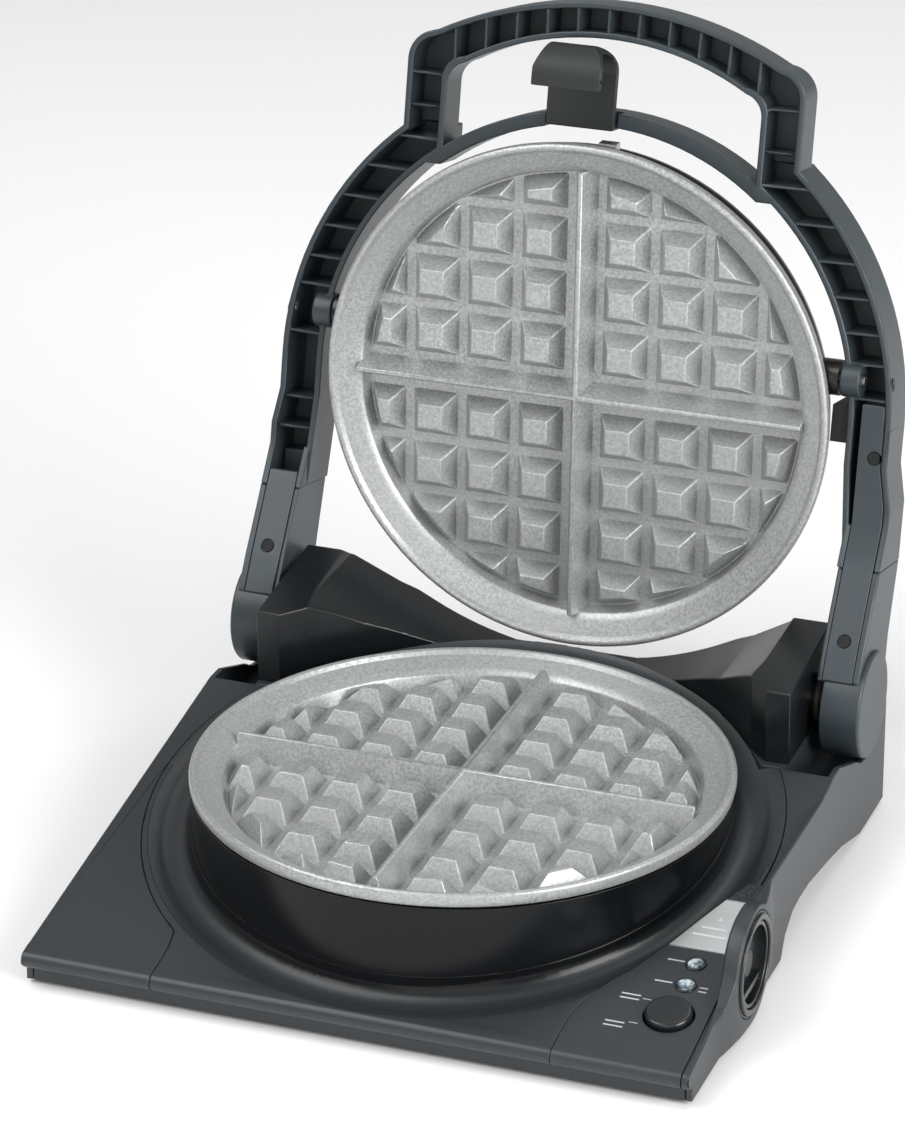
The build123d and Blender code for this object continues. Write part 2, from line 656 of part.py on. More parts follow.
# Bottom pan: floor, front lip, the finger pockets' walls and the board's posts.
PAN_HALF = WALL_IN - SEAM
PAN_FLOOR = SKIRT_Z
POCKET_ROOF = -36.0
with BuildPart() as bottom_pan:
    with BuildSketch(level(PAN_FLOOR)):
        with Locations((0, (FRONT_Y + REAR_Y - SHELL) / 2)):
            Rectangle(2 * PAN_HALF, REAR_Y - SHELL - SEAM - FRONT_Y)
        for sign in (-1, 1):
            with Locations((sign * (GRIP_IN + 20), (ARCH_FRONT + ARCH_REAR) / 2)):
                Rectangle(40, ARCH_REAR - ARCH_FRONT + 6, mode=Mode.SUBTRACT)
    extrude(amount=SHELL)
    with BuildSketch(level(PAN_FLOOR)):
        with Locations((0, FRONT_Y + SHELL / 2)):
            Rectangle(2 * PAN_HALF, SHELL)
    extrude(amount=SEAM_Z - SEAM - PAN_FLOOR)
    for sign in (-1, 1):
        with BuildSketch(level(PAN_FLOOR)):
            with Locations((sign * (GRIP_IN - SHELL / 2), (ARCH_FRONT + ARCH_REAR) / 2)):
                Rectangle(SHELL, ARCH_REAR - ARCH_FRONT + 6 + 2 * SHELL)
            for y in (ARCH_FRONT - 3 - SHELL / 2, ARCH_REAR + 3 + SHELL / 2):
                with Locations((sign * (GRIP_IN + PAN_HALF) / 2, y)):
                    Rectangle(PAN_HALF - GRIP_IN, SHELL)
        extrude(amount=POCKET_ROOF - PAN_FLOOR)
        with BuildSketch(level(POCKET_ROOF)):
            with Locations((sign * (GRIP_IN - SHELL + PAN_HALF) / 2, (ARCH_FRONT + ARCH_REAR) / 2)):
                Rectangle(PAN_HALF - GRIP_IN + SHELL, ARCH_REAR - ARCH_FRONT + 6 + 2 * SHELL)
        extrude(amount=1.6)
    with BuildSketch(level(PAN_FLOOR + SHELL)):
        with Locations((96.0, -94.0), (96.0, -50.0), (114.0, -50.0), (114.0, -94.0)):
            Circle(2.0)
    extrude(amount=BOARD_Z - PAN_FLOOR - SHELL)
    with BuildSketch(level(PAN_FLOOR)):
        for x in (-BOLT_X, BOLT_X):
            with Locations(*[(x, y) for y in BOLT_YS]):
                Circle(SCREW_R + 0.3)
        for angle in (45, 135, 225, 315):
            with Locations(Location((0, 0, 0), (0, 0, angle))):
                with Locations((78, 0)):
                    Circle(SCREW_R + 0.3)
    extrude(amount=SHELL, mode=Mode.SUBTRACT)
bottom_pan.part.label = "bottom_pan"
export_step(bottom_pan.part, "parts/bottom_pan.step")

# Pan screws from below, into the cover's and the well's posts.
HEAD_R = 3.0
with BuildPart() as pan_screws:
    with BuildSketch(level(PAN_FLOOR - 1.2)):
        for x in (-BOLT_X, BOLT_X):
            with Locations(*[(x, y) for y in BOLT_YS]):
                Circle(HEAD_R)
        for angle in (45, 135, 225, 315):
            with Locations(Location((0, 0, 0), (0, 0, angle))):
                with Locations((78, 0)):
                    Circle(HEAD_R)
    extrude(amount=1.2)
    with BuildSketch(level(PAN_FLOOR)):
        for x in (-BOLT_X, BOLT_X):
            with Locations(*[(x, y) for y in BOLT_YS]):
                Circle(SCREW_R - SEAT)
        for angle in (45, 135, 225, 315):
            with Locations(Location((0, 0, 0), (0, 0, angle))):
                with Locations((78, 0)):
                    Circle(SCREW_R - SEAT)
    extrude(amount=SHELL + POST_HOLE - 1.5)
pan_screws.part.label = "pan_screws"
export_step(pan_screws.part, "parts/pan_screws.step")

# Four soft feet under the pan.
FOOT_X = 100.0
FOOT_YS = (-98.0, 110.0)
with BuildPart() as feet:
    with BuildSketch(level(-RIM_Z)):
        for x in (-FOOT_X, FOOT_X):
            with Locations(*[(x, y) for y in FOOT_YS]):
                Circle(7.0)
    extrude(amount=FOOT_TALL)
feet.part.label = "feet"
export_step(feet.part, "parts/feet.step")

# Cord inlet gland in the rear wall, with the bore for the cord.
CORD_R = 3.4
with BuildPart() as cord_gland:
    with BuildSketch(front(REAR_Y - SHELL - 2.0)):
        with Locations((CORD_X, CORD_Z)):
            Circle(CORD_BORE + 2.0)
    extrude(amount=-2.0)
    with BuildSketch(front(REAR_Y - SHELL)):
        with Locations((CORD_X, CORD_Z)):
            Circle(CORD_BORE - SEAT)
    extrude(amount=-SHELL - 9.0)
    with BuildSketch(front(REAR_Y - SHELL - 3.0)):
        with Locations((CORD_X, CORD_Z)):
            Circle(CORD_R)
    extrude(amount=-20, mode=Mode.SUBTRACT)
cord_gland.part.label = "cord_gland"
export_step(cord_gland.part, "parts/cord_gland.step")

# Terminal block on the pan behind the well.
with BuildPart() as terminal_block:
    with BuildSketch(level(PAN_FLOOR + SHELL)):
        with Locations((-30.0, 113.5)):
            Rectangle(30, 12)
    extrude(amount=14)
    for x in (-39.0, -30.0, -21.0):
        with BuildSketch(level(PAN_FLOOR + SHELL + 14)):
            with Locations((x, 113.5)):
                Circle(2.0)
        extrude(amount=-3, mode=Mode.SUBTRACT)
terminal_block.part.label = "terminal_block"
export_step(terminal_block.part, "parts/terminal_block.step")

# Beeper on the circuit board.
with BuildPart() as beeper:
    with BuildSketch(level(BOARD_Z + BOARD_THICK)):
        with Locations((98.5, -56.0)):
            Circle(4.5)
    extrude(amount=5.0)
beeper.part.label = "beeper"
export_step(beeper.part, "parts/beeper.step")

# Hinge pins and the thrust bushes between tower and barrel.
with BuildPart() as hinge_pins:
    with BuildSketch(side(ARM_IN - 2 * SHELL - 2.0)):
        with Locations((HINGE_Y, HINGE_Z)):
            Circle(HINGE_PIN_R + 2.0)
    extrude(amount=2.0)
    with BuildSketch(side(ARM_IN - 2 * SHELL)):
        with Locations((HINGE_Y, HINGE_Z)):
            Circle(HINGE_PIN_R)
    extrude(amount=BARREL_OUT - 4.5 - ARM_IN + 2 * SHELL)
    mirror(about=Plane.YZ)
hinge_pins.part.label = "hinge_pins"
export_step(hinge_pins.part, "parts/hinge_pins.step")
with BuildPart() as hinge_bushes:
    with BuildSketch(side(ARM_IN)):
        with Locations((HINGE_Y, HINGE_Z)):
            Circle(HINGE_PIN_R + 5)
            Circle(HINGE_HOLE, mode=Mode.SUBTRACT)
    extrude(amount=1.6)
    mirror(about=Plane.YZ)
hinge_bushes.part.label = "hinge_bushes"
export_step(hinge_bushes.part, "parts/hinge_bushes.step")

# Cooking plate form, used below and above: rim, floor, ridge cross and grid lugs.
PLATE_DEEP = 11.5
PLATE_THICK = 2.5
LUG_PLACES = (16.5, 38.0, 59.3, 80.7)
LUG_BASE = 18.0
LUG_TOP = 9.8
LUG_TALL = 7.5
RIDGE_HALF = 0.8
LUG_FIELD_R = 86.2
with BuildPart() as lug_field:
    with BuildSketch(Plane.XY.offset(-PLATE_DEEP - 0.2)):
        spots = [(i * a, j * b) for a in LUG_PLACES for b in LUG_PLACES for i in (-1, 1) for j in (-1, 1)
                 if math.hypot(a - LUG_BASE / 2, b - LUG_BASE / 2) < LUG_FIELD_R - 8]
        with Locations(*spots):
            Rectangle(LUG_BASE, LUG_BASE)
    extrude(amount=LUG_TALL + 0.2, taper=math.degrees(math.atan((LUG_BASE - LUG_TOP) / 2 / LUG_TALL)))
    with BuildSketch(Plane.XY.offset(-PLATE_DEEP - 0.2)):
        Circle(LUG_FIELD_R)
    extrude(amount=LUG_TALL + 0.2, taper=30, mode=Mode.INTERSECT)
with BuildPart() as plate_form:
    with BuildSketch(Plane.XZ):
        with BuildLine():
            Polyline(
                (0, -PLATE_DEEP), (86.6, -PLATE_DEEP), (88.2, -6.4), (89.6, -5.2), (91.0, -4.4),
                (96.4, -1.9),
                (97.4, -0.5), (98.3, 0), (99.3, -0.15), (RIM_R, -0.9), (RIM_R, -3.3), (RIM_R - 0.5, -5.3),
                (RIM_R - 2.8, -5.3), (RIM_R - 3.2, -4.0), (90.6, -7.0), (88.9, -PLATE_DEEP - PLATE_THICK),
                (0, -PLATE_DEEP - PLATE_THICK), close=True,
            )
        make_face()
    revolve(axis=Axis.Z)
    with BuildSketch(Plane.YZ.offset(-88.9)):
        with BuildLine():
            Polyline((-4.6, -PLATE_DEEP - 0.5), (-RIDGE_HALF, -1.8), (RIDGE_HALF, -1.8),
                     (4.6, -PLATE_DEEP - 0.5), close=True)
        make_face()
    extrude(amount=2 * 88.9)
    with BuildSketch(Plane.XZ.offset(-88.9)):
        with BuildLine():
            Polyline((-4.6, -PLATE_DEEP - 0.5), (-RIDGE_HALF, -1.8), (RIDGE_HALF, -1.8),
                     (4.6, -PLATE_DEEP - 0.5), close=True)
        make_face()
    extrude(amount=2 * 88.9)
    add(lug_field.part)
with BuildPart() as plate_bosses:
    with BuildSketch(Plane.XY.offset(-PLATE_DEEP - PLATE_THICK - 12)):
        with PolarLocations(60, 3, start_angle=90):
            Circle(4.0)
            Circle(SCREW_R, mode=Mode.SUBTRACT)
    extrude(amount=12)


def placed(form, plane):
    return form.moved(Location(plane))


# Lower grid plate, with three screw bosses under its floor.
with BuildPart() as lower_grid_plate:
    add(placed(plate_form.part, level(0)))
    add(placed(plate_bosses.part, level(0)))
lower_grid_plate.part.label = "lower_grid_plate"
export_step(lower_grid_plate.part, "parts/lower_grid_plate.step")

# Tubular heating element under a plate: one ring, pressed to the floor.
ELEMENT_R = 4.0
ELEMENT_RING = 70.5
with BuildPart() as element_form:
    with BuildSketch(Plane.XZ):
        with Locations((ELEMENT_RING, -PLATE_DEEP - PLATE_THICK - ELEMENT_R)):
            Circle(ELEMENT_R)
    revolve(axis=Axis.Z)
    for x in (-10.0, 10.0):
        with BuildSketch(Plane.XZ.offset(-ELEMENT_RING - 14)):
            with Locations((x, -PLATE_DEEP - PLATE_THICK - ELEMENT_R)):
                Circle(2.0)
        extrude(amount=13.0)
with BuildPart() as lower_heating_element:
    add(placed(element_form.part, level(0)))
lower_heating_element.part.label = "lower_heating_element"
export_step(lower_heating_element.part, "parts/lower_heating_element.step")

# Heat shield under the lower plate, resting on the well's floor.
SHIELD_R = 92.0
with BuildPart() as lower_heat_shield:
    with BuildSketch(level(POT_FLOOR)):
        Circle(SHIELD_R)
        with PolarLocations(60, 3, start_angle=90):
            Circle(4.0 + 0.4, mode=Mode.SUBTRACT)
    extrude(amount=0.8)
    with BuildSketch(level(POT_FLOOR + 0.8)):
        Circle(SHIELD_R)
        Circle(SHIELD_R - 0.8, mode=Mode.SUBTRACT)
    extrude(amount=14.0)
lower_heat_shield.part.label = "lower_heat_shield"
export_step(lower_heat_shield.part, "parts/lower_heat_shield.step")

# Spacer legs carry the lower plate's bosses off the well's floor, and screws hold them from below.
with BuildPart() as plate_spacers:
    with BuildSketch(level(POT_FLOOR)):
        with PolarLocations(60, 3, start_angle=90):
            Circle(4.0)
            Circle(SCREW_R + 0.2, mode=Mode.SUBTRACT)
    extrude(amount=-PLATE_DEEP - PLATE_THICK - 12 - POT_FLOOR)
plate_spacers.part.label = "plate_spacers"
export_step(plate_spacers.part, "parts/plate_spacers.step")
with BuildPart() as lower_plate_screws:
    with BuildSketch(level(POT_FLOOR - SHELL - 1.4)):
        with PolarLocations(60, 3, start_angle=90):
            Circle(HEAD_R)
    extrude(amount=1.4)
    with BuildSketch(level(POT_FLOOR - SHELL)):
        with PolarLocations(60, 3, start_angle=90):
            Circle(SCREW_R - SEAT)
    extrude(amount=-PLATE_DEEP - PLATE_THICK - 4 - POT_FLOOR + SHELL)
lower_plate_screws.part.label = "lower_plate_screws"
export_step(lower_plate_screws.part, "parts/lower_plate_screws.step")

# Thermostat clipped against the lower plate's floor.
with BuildPart() as thermostat:
    with BuildSketch(level(-PLATE_DEEP - PLATE_THICK - 10)):
        Circle(9.0)
    extrude(amount=10.0)
    for x in (-5.0, 5.0):
        with BuildSketch(level(-PLATE_DEEP - PLATE_THICK - 16)):
            with Locations((x, 0)):
                Rectangle(0.8, 6)
        extrude(amount=6.0)
thermostat.part.label = "thermostat"
export_step(thermostat.part, "parts/thermostat.step")

# Upper grid plate.
with BuildPart() as upper_grid_plate:
    add(placed(plate_form.part, lid_plane))
    add(placed(plate_bosses.part, lid_plane))
upper_grid_plate.part.label = "upper_grid_plate"
export_step(upper_grid_plate.part, "parts/upper_grid_plate.step")
with BuildPart() as upper_heating_element:
    add(placed(element_form.part, lid_plane))
upper_heating_element.part.label = "upper_heating_element"
export_step(upper_heating_element.part, "parts/upper_heating_element.step")

# Lid dome: a thin spun shell behind the upper plate, its bosses turning on the trunnion pins.
DOME_DEEP = 35.0
DOME_SHEET = 1.2
DOME_MOUTH = -5.8
TRUN_R = 2.25
TRUN_BOSS_R = 6.8
YOKE_INNER = 105.3
TRUN_BOSS_OUT = 101.0
with BuildPart() as dome_form:
    with BuildSketch(Plane.XZ):
        with BuildLine():
            Polyline((97.0, DOME_MOUTH), (97.0, -14.0))
            ThreePointArc((97.0, -14.0), (93.6, -22.0), (86.0, -27.0))
            ThreePointArc((86.0, -27.0), (45.0, -33.0), (0, -DOME_DEEP))
            Polyline((0, -DOME_DEEP), (0, -DOME_DEEP + DOME_SHEET))
            ThreePointArc((0, -DOME_DEEP + DOME_SHEET), (45.0, -33.0 + DOME_SHEET),
                          (85.6, -27.0 + DOME_SHEET))
            ThreePointArc((85.6, -27.0 + DOME_SHEET), (92.7, -21.2), (97.0 - DOME_SHEET, -14.0))
            Polyline((97.0 - DOME_SHEET, -14.0), (97.0 - DOME_SHEET, DOME_MOUTH), (97.0, DOME_MOUTH))
        make_face()
    revolve(axis=Axis.Z)
PAD_OUT = -32.6
PAD_IN = -29.0
with BuildPart() as lid_dome:
    add(placed(dome_form.part, lid_plane))
    with BuildSketch(lid_plane.offset(PAD_OUT)):
        with PolarLocations(60, 3, start_angle=90):
            Circle(5.5)
    extrude(amount=PAD_IN - PAD_OUT)
    for start, length in ((93.5, TRUN_BOSS_OUT - 93.5), (-TRUN_BOSS_OUT, TRUN_BOSS_OUT - 93.5)):
        with BuildSketch(lid_side(start)):
            with Locations((LID_A, -LID_B)):
                Circle(TRUN_BOSS_R)
        extrude(amount=length)
    with BuildSketch(lid_side(-130)):
        with Locations((LID_A, -LID_B)):
            Circle(TRUN_R + SEAT)
    extrude(amount=260, mode=Mode.SUBTRACT)
    with BuildSketch(lid_plane.offset(-DOME_DEEP - 2)):
        with PolarLocations(60, 3, start_angle=90):
            Circle(SCREW_R + 0.2)
    extrude(amount=8, mode=Mode.SUBTRACT)
lid_dome.part.label = "lid_dome"
export_step(lid_dome.part, "parts/lid_dome.step")

# Heat shield inside the dome: a pan that clamps between dome screws and plate bosses.
UPPER_SHIELD_Z = -27.4
with BuildPart() as upper_heat_shield:
    with BuildSketch(lid_plane.offset(UPPER_SHIELD_Z)):
        Circle(70.0)
        with PolarLocations(60, 3, start_angle=90):
            Circle(SCREW_R + 0.2, mode=Mode.SUBTRACT)
    extrude(amount=0.8)
upper_heat_shield.part.label = "upper_heat_shield"
export_step(upper_heat_shield.part, "parts/upper_heat_shield.step")
BOSS_END = -PLATE_DEEP - PLATE_THICK - 12
with BuildPart() as lid_spacers:
    with BuildSketch(lid_plane.offset(PAD_IN)):
        with PolarLocations(60, 3, start_angle=90):
            Circle(4.0)
            Circle(SCREW_R + 0.2, mode=Mode.SUBTRACT)
    extrude(amount=UPPER_SHIELD_Z - PAD_IN)
    with BuildSketch(lid_plane.offset(UPPER_SHIELD_Z + 0.8)):
        with PolarLocations(60, 3, start_angle=90):
            Circle(4.0)
            Circle(SCREW_R + 0.2, mode=Mode.SUBTRACT)
    extrude(amount=BOSS_END - UPPER_SHIELD_Z - 0.8)
lid_spacers.part.label = "lid_spacers"
export_step(lid_spacers.part, "parts/lid_spacers.step")
with BuildPart() as lid_screws:
    with BuildSketch(lid_plane.offset(PAD_OUT - 1.6)):
        with PolarLocations(60, 3, start_angle=90):
            Circle(HEAD_R)
    extrude(amount=1.6)
    with BuildSketch(lid_plane.offset(PAD_OUT)):
        with PolarLocations(60, 3, start_angle=90):
            Circle(SCREW_R - SEAT)
    extrude(amount=BOSS_END - PAD_OUT + 7.0)
lid_screws.part.label = "lid_screws"
export_step(lid_screws.part, "parts/lid_screws.step")

# Trunnion pins: from the dome's bosses through the yoke's inner walls.
PIN_END = 110.3
with BuildPart() as trunnion_pins:
    for start in (96.5, -PIN_END):
        with BuildSketch(lid_side(start)):
            with Locations((LID_A, -LID_B)):
                Circle(TRUN_R)
        extrude(amount=PIN_END - 96.5)
trunnion_pins.part.label = "trunnion_pins"
export_step(trunnion_pins.part, "parts/trunnion_pins.step")

# Yoke: a ribbed channel of arch, legs and handle, open to the front.
RING_S = 102.0
RING_R = 122.0
RING_DEEP = 22.0
GRIP_DEEP = 17.0
YOKE_WALL = 2.4
LEG_S = 50.6
LEG_IN = 108.0
GRIP_X = 78.5
GRIP_HOLE_X = 62.0
BAND_R = 107.0
BAND_IN = 101.6
KNEE_S = 88.0


def yoke_outline(inset):
    # Plan of the yoke in its own plane, walls drawn in by the inset.
    with BuildSketch(Plane.XY, mode=Mode.PRIVATE) as outline:
        with Locations((0, RING_S)):
            Circle(RING_R - inset)
        with Locations((0, RING_S - 150)):
            Rectangle(400, 300, mode=Mode.SUBTRACT)
        with BuildLine():
            Polyline((0, 150), (-GRIP_X + inset, 150), (-GRIP_X + inset, 221))
            ThreePointArc((-GRIP_X + inset, 221), (-75.5 + inset * 0.7, 228.8 - inset * 0.7),
                          (-68, 232.6 - inset))
            ThreePointArc((-68, 232.6 - inset), (0, 249.5 - inset), (68, 232.6 - inset))
            ThreePointArc((68, 232.6 - inset), (75.5 - inset * 0.7, 228.8 - inset * 0.7),
                          (GRIP_X - inset, 221))
            Polyline((GRIP_X - inset, 221), (GRIP_X - inset, 150), (0, 150))
        make_face()
        with BuildLine():
            Polyline((0, 150), (-GRIP_HOLE_X - inset, 150), (-GRIP_HOLE_X - inset, 213))
            ThreePointArc((-GRIP_HOLE_X - inset, 213), (-GRIP_HOLE_X + 1.6 - inset, 218.2 + inset * 0.7),
                          (-GRIP_HOLE_X + 6.5, 221.6 + inset))
            ThreePointArc((-GRIP_HOLE_X + 6.5, 221.6 + inset), (0, 236.2 + inset),
                          (GRIP_HOLE_X - 6.5, 221.6 + inset))
            ThreePointArc((GRIP_HOLE_X - 6.5, 221.6 + inset),
                          (GRIP_HOLE_X - 1.6 + inset, 218.2 + inset * 0.7),
                          (GRIP_HOLE_X + inset, 213))
            Polyline((GRIP_HOLE_X + inset, 213), (GRIP_HOLE_X + inset, 150), (0, 150))
        make_face(mode=Mode.SUBTRACT)
        with Locations((0, RING_S)):
            Circle(YOKE_INNER + inset, mode=Mode.SUBTRACT)
        for sign in (-1, 1):
            with BuildLine():
                Polyline(
                    (sign * (RING_R - inset), RING_S + 1), (sign * (RING_R - inset), KNEE_S),
                    (sign * (BASE_HALF - inset), KNEE_S - 14), (sign * (BASE_HALF - inset), LEG_S),
                    (sign * (LEG_IN + inset), LEG_S), (sign * (YOKE_INNER + inset), KNEE_S),
                    (sign * (YOKE_INNER + inset), RING_S + 1), close=True,
                )
            make_face()
    return outline.sketch


FLARE_N = 7.0
FLARE_S = 66.0
RIB = 1.1
RIB_DROP = 0.7
LEFT_RIBS = (58.5, 73.0, 85.0, 111.0, 130.0, 141.0, 153.4, 165.9, 178.5, 191.2, 203.5, 216.0)
RIGHT_RIBS = (113.5, 126.6, 137.8, 150.6, 163.2, 176.0, 188.7, 201.0, 217.0)
TOP_RIBS = [12.0 * i for i in range(-5, 6)]
trunnion = yoke_plane.to_local_coords(Vector(0, PLATE_Y + TRUN_Y, RIM_Z + TRUN_Z))
TRUN_S, TRUN_N = trunnion.Y, trunnion.Z
barrel = yoke_plane.to_local_coords(Vector(0, PLATE_Y + HINGE_Y, RIM_Z + HINGE_Z))
BARREL_S, BARREL_N = barrel.Y, barrel.Z
LATCH_LEFT, LATCH_RIGHT = -21.0, 6.0
LATCH_S, LATCH_N = 204.7, -3.0
LATCH_PIN_R = 1.2
COVER_THICK = 2.0
POST_X, POST_S, POST_R = 116.7, 92.0, 2.1
LEAD_R = 2.0
LEAD_X = 112.6
LEAD_S = 103.0
LEAD_N = -RING_DEEP + YOKE_WALL + LEAD_R
with BuildPart() as yoke_frame:
    with BuildSketch(yoke_plane.offset(-RING_DEEP)):
        add(yoke_outline(0.0))
    extrude(amount=RING_DEEP)
    with BuildSketch(yoke_plane.offset(-RING_DEEP)):
        with Locations((0, 250)):
            Rectangle(200, 2 * (250 - 196))
    extrude(amount=RING_DEEP - GRIP_DEEP, mode=Mode.SUBTRACT)
    with BuildSketch(yoke_plane.offset(-RING_DEEP + YOKE_WALL)):
        add(yoke_outline(YOKE_WALL))
    extrude(amount=40, mode=Mode.SUBTRACT)
    with BuildSketch(yoke_plane.offset(-GRIP_DEEP)):
        add(yoke_outline(0.0))
        with Locations((0, 96)):
            Rectangle(400, 200, mode=Mode.SUBTRACT)
    extrude(amount=YOKE_WALL)
    with BuildSketch(yoke_plane.offset(-GRIP_DEEP)):
        with Locations((0, RING_S)):
            Circle(BAND_R)
            Circle(BAND_IN, mode=Mode.SUBTRACT)
        with Locations((0, RING_S - 100)):
            Rectangle(400, 2 * 180, mode=Mode.SUBTRACT)
        with Locations((0, RING_S + 80)):
            Rectangle(2 * 69.0, 100, mode=Mode.INTERSECT)
    extrude(amount=GRIP_DEEP)
    for start in (TRUN_BOSS_OUT + 0.8, -TRUN_BOSS_OUT - 0.8 - 7.5):
        with BuildSketch(yoke_side(start)):
            with Locations((TRUN_S, TRUN_N)):
                Circle(TRUN_BOSS_R)
        extrude(amount=7.5)
    with BuildSketch(yoke_plane.offset(-RING_DEEP + YOKE_WALL / 2)):
        with Locations((POST_X, POST_S)):
            Circle(POST_R)
    extrude(amount=RING_DEEP - YOKE_WALL / 2 - COVER_THICK - SEAM)
    with BuildSketch(yoke_plane.offset(-12)):
        with Locations((POST_X, POST_S)):
            Circle(SCREW_R)
    extrude(amount=12, mode=Mode.SUBTRACT)
    for deep, low, high in ((RING_DEEP, 60, 196), (GRIP_DEEP, 196, 250)):
        with BuildSketch(yoke_plane.offset(-deep + YOKE_WALL / 2)):
            for s in LEFT_RIBS:
                if low < s < high:
                    with Locations((-96, s)):
                        Rectangle(80, RIB)
            for s in RIGHT_RIBS:
                if low < s < high:
                    with Locations((96, s)):
                        Rectangle(80, RIB)
            if high == 250:
                for x in TOP_RIBS:
                    with Locations((x, 238)):
                        Rectangle(RIB, 34)
            add(yoke_outline(YOKE_WALL / 2), mode=Mode.INTERSECT)
        extrude(amount=deep - YOKE_WALL / 2 - RIB_DROP)
    for x in (LEG_IN, BASE_HALF - YOKE_WALL, -LEG_IN - YOKE_WALL, -BASE_HALF):
        with BuildSketch(yoke_side(x)):
            with BuildLine():
                Polyline((LEG_S, -4), (LEG_S, FLARE_N), (FLARE_S, 0), (FLARE_S, -4), close=True)
            make_face()
        extrude(amount=YOKE_WALL)
    with BuildSketch(yoke_side(-130)):
        with Locations((TRUN_S, TRUN_N)):
            Circle(TRUN_R + RUN)
    extrude(amount=260, mode=Mode.SUBTRACT)
    with BuildSketch(yoke_side(LATCH_LEFT - AIR)):
        with Locations((LATCH_S, 0)):
            Rectangle(20, 2 * 8.0)
    extrude(amount=LATCH_RIGHT - LATCH_LEFT + 2 * AIR, mode=Mode.SUBTRACT)
    with BuildSketch(yoke_side(LATCH_LEFT - 5)):
        with Locations((LATCH_S, LATCH_N)):
            Circle(LATCH_PIN_R + SEAT)
    extrude(amount=LATCH_RIGHT - LATCH_LEFT + 10, mode=Mode.SUBTRACT)
    with BuildSketch(yoke_side(YOKE_INNER - 1)):
        with Locations((LEAD_S, LEAD_N)):
            Circle(LEAD_R + 0.5)
    extrude(amount=5, mode=Mode.SUBTRACT)
yoke_frame.part.label = "yoke_frame"
export_step(yoke_frame.part, "parts/yoke_frame.step")

# Hinge arms: barrel and arm in one, with a tenon up into the yoke's leg.
ARM_INNER = 108.6
TENON = 12.0
ARM_FRONT = ((LEG_S, FLARE_N), (41.2, 11.1), (24.2, 18.6), (11.0, 23.4))
with BuildPart() as arm_form:
    with BuildSketch(yoke_side(ARM_INNER)):
        with BuildLine():
            Polyline((LEG_S, -RING_DEEP), *ARM_FRONT, (BARREL_S, BARREL_N), (BARREL_S, BARREL_N - BARREL_R),
                     (22.0, -16.2), close=True)
        make_face()
    extrude(amount=BASE_HALF - ARM_INNER)
    with BuildSketch(yoke_side(BARREL_IN)):
        with Locations((BARREL_S, BARREL_N)):
            Circle(BARREL_R)
    extrude(amount=BARREL_OUT - BARREL_IN)
    fillet(arm_form.edges().filter_by(GeomType.CIRCLE).group_by(Axis.X)[-1], 1.2)
    with BuildSketch(yoke_plane.offset(-RING_DEEP + YOKE_WALL + RUN)):
        with Locations(((LEG_IN + BASE_HALF) / 2, LEG_S + TENON / 2 - 2)):
            Rectangle(BASE_HALF - LEG_IN - 2 * YOKE_WALL - 2 * RUN, TENON + 4)
    extrude(amount=10.0)
    with BuildSketch(yoke_side(ARM_IN - 10)):
        with Locations((BARREL_S, BARREL_N)):
            Circle(HINGE_PIN_R + RUN)
    extrude(amount=BARREL_OUT - 4.0 - ARM_IN + 10, mode=Mode.SUBTRACT)
    with BuildSketch(yoke_side(ARM_IN - 10)):
        with Locations((BARREL_S, BARREL_N)):
            Circle(BARREL_R + 1)
    extrude(amount=ARM_INNER + 0.0 - ARM_IN + 10, mode=Mode.SUBTRACT)


def cover_strip(top, grow):
    # The arm cover's bent strip, on the front of the right arm.
    with BuildPart(mode=Mode.PRIVATE) as strip:
        with BuildSketch(yoke_side(COVER_IN - grow)):
            with BuildLine():
                if top < FLARE_S:
                    end = ((top, FLARE_N * (FLARE_S - top) / (FLARE_S - LEG_S)),)
                    deep = ((top, end[0][1] - COVER_THICK - grow),)
                else:
                    end = ((FLARE_S, 0), (top, 0))
                    deep = ((top, -COVER_THICK - grow), (FLARE_S - 0.5, -COVER_THICK - grow))
                Polyline((11.0, 23.4 + grow), (24.2, 18.6 + grow), (41.2, 11.1 + grow),
                         (LEG_S, FLARE_N + grow),
                         *end, *deep, (LEG_S - 0.7, FLARE_N - COVER_THICK - grow),
                         (40.4, 11.1 - COVER_THICK - grow), (23.4, 18.6 - COVER_THICK - grow),
                         (11.0, 22.7 - COVER_THICK - grow), close=True)
            make_face()
        extrude(amount=COVER_OUT - COVER_IN + 2 * grow)
        with BuildSketch(yoke_plane.offset(-6)):
            with Locations((LEG_IN + 10, LEG_S + 40)):
                Rectangle(40, 80)
            add(yoke_outline(YOKE_WALL + SEAM), mode=Mode.SUBTRACT)
        extrude(amount=16, mode=Mode.SUBTRACT)
    return strip.part


COVER_IN = LEG_IN + YOKE_WALL + SEAM
COVER_OUT = BASE_HALF - YOKE_WALL - SEAM
LEFT_TOP = 56.5
RIGHT_TOP = 112.0
COVER_MID = (COVER_IN + COVER_OUT) / 2
ARM_HEAD_R = 2.3
ARM_SCREWS_LEFT = ((-COVER_MID, 28.6),)
ARM_SCREWS_RIGHT = ((COVER_MID, 25.5), (POST_X, POST_S))


def cover_normal(s):
    # The place on the cover's face at a height s, with the outward direction there.
    if s < FLARE_S:
        n, tilt = 18.6 - (s - 24.2) * 7.5 / 17.0, math.degrees(math.atan(7.5 / 17.0))
    else:
        n, tilt = 0.0, 0.0
    return n, tilt


def cover_screw_plane(x, s):
    n, tilt = cover_normal(s)
    across = (yoke_plane.z_dir * math.cos(math.radians(tilt))
              + yoke_plane.y_dir * math.sin(math.radians(tilt)))
    return Plane(origin=yoke_plane.from_local_coords(Vector(x, s, n)), x_dir=(1, 0, 0), z_dir=across)


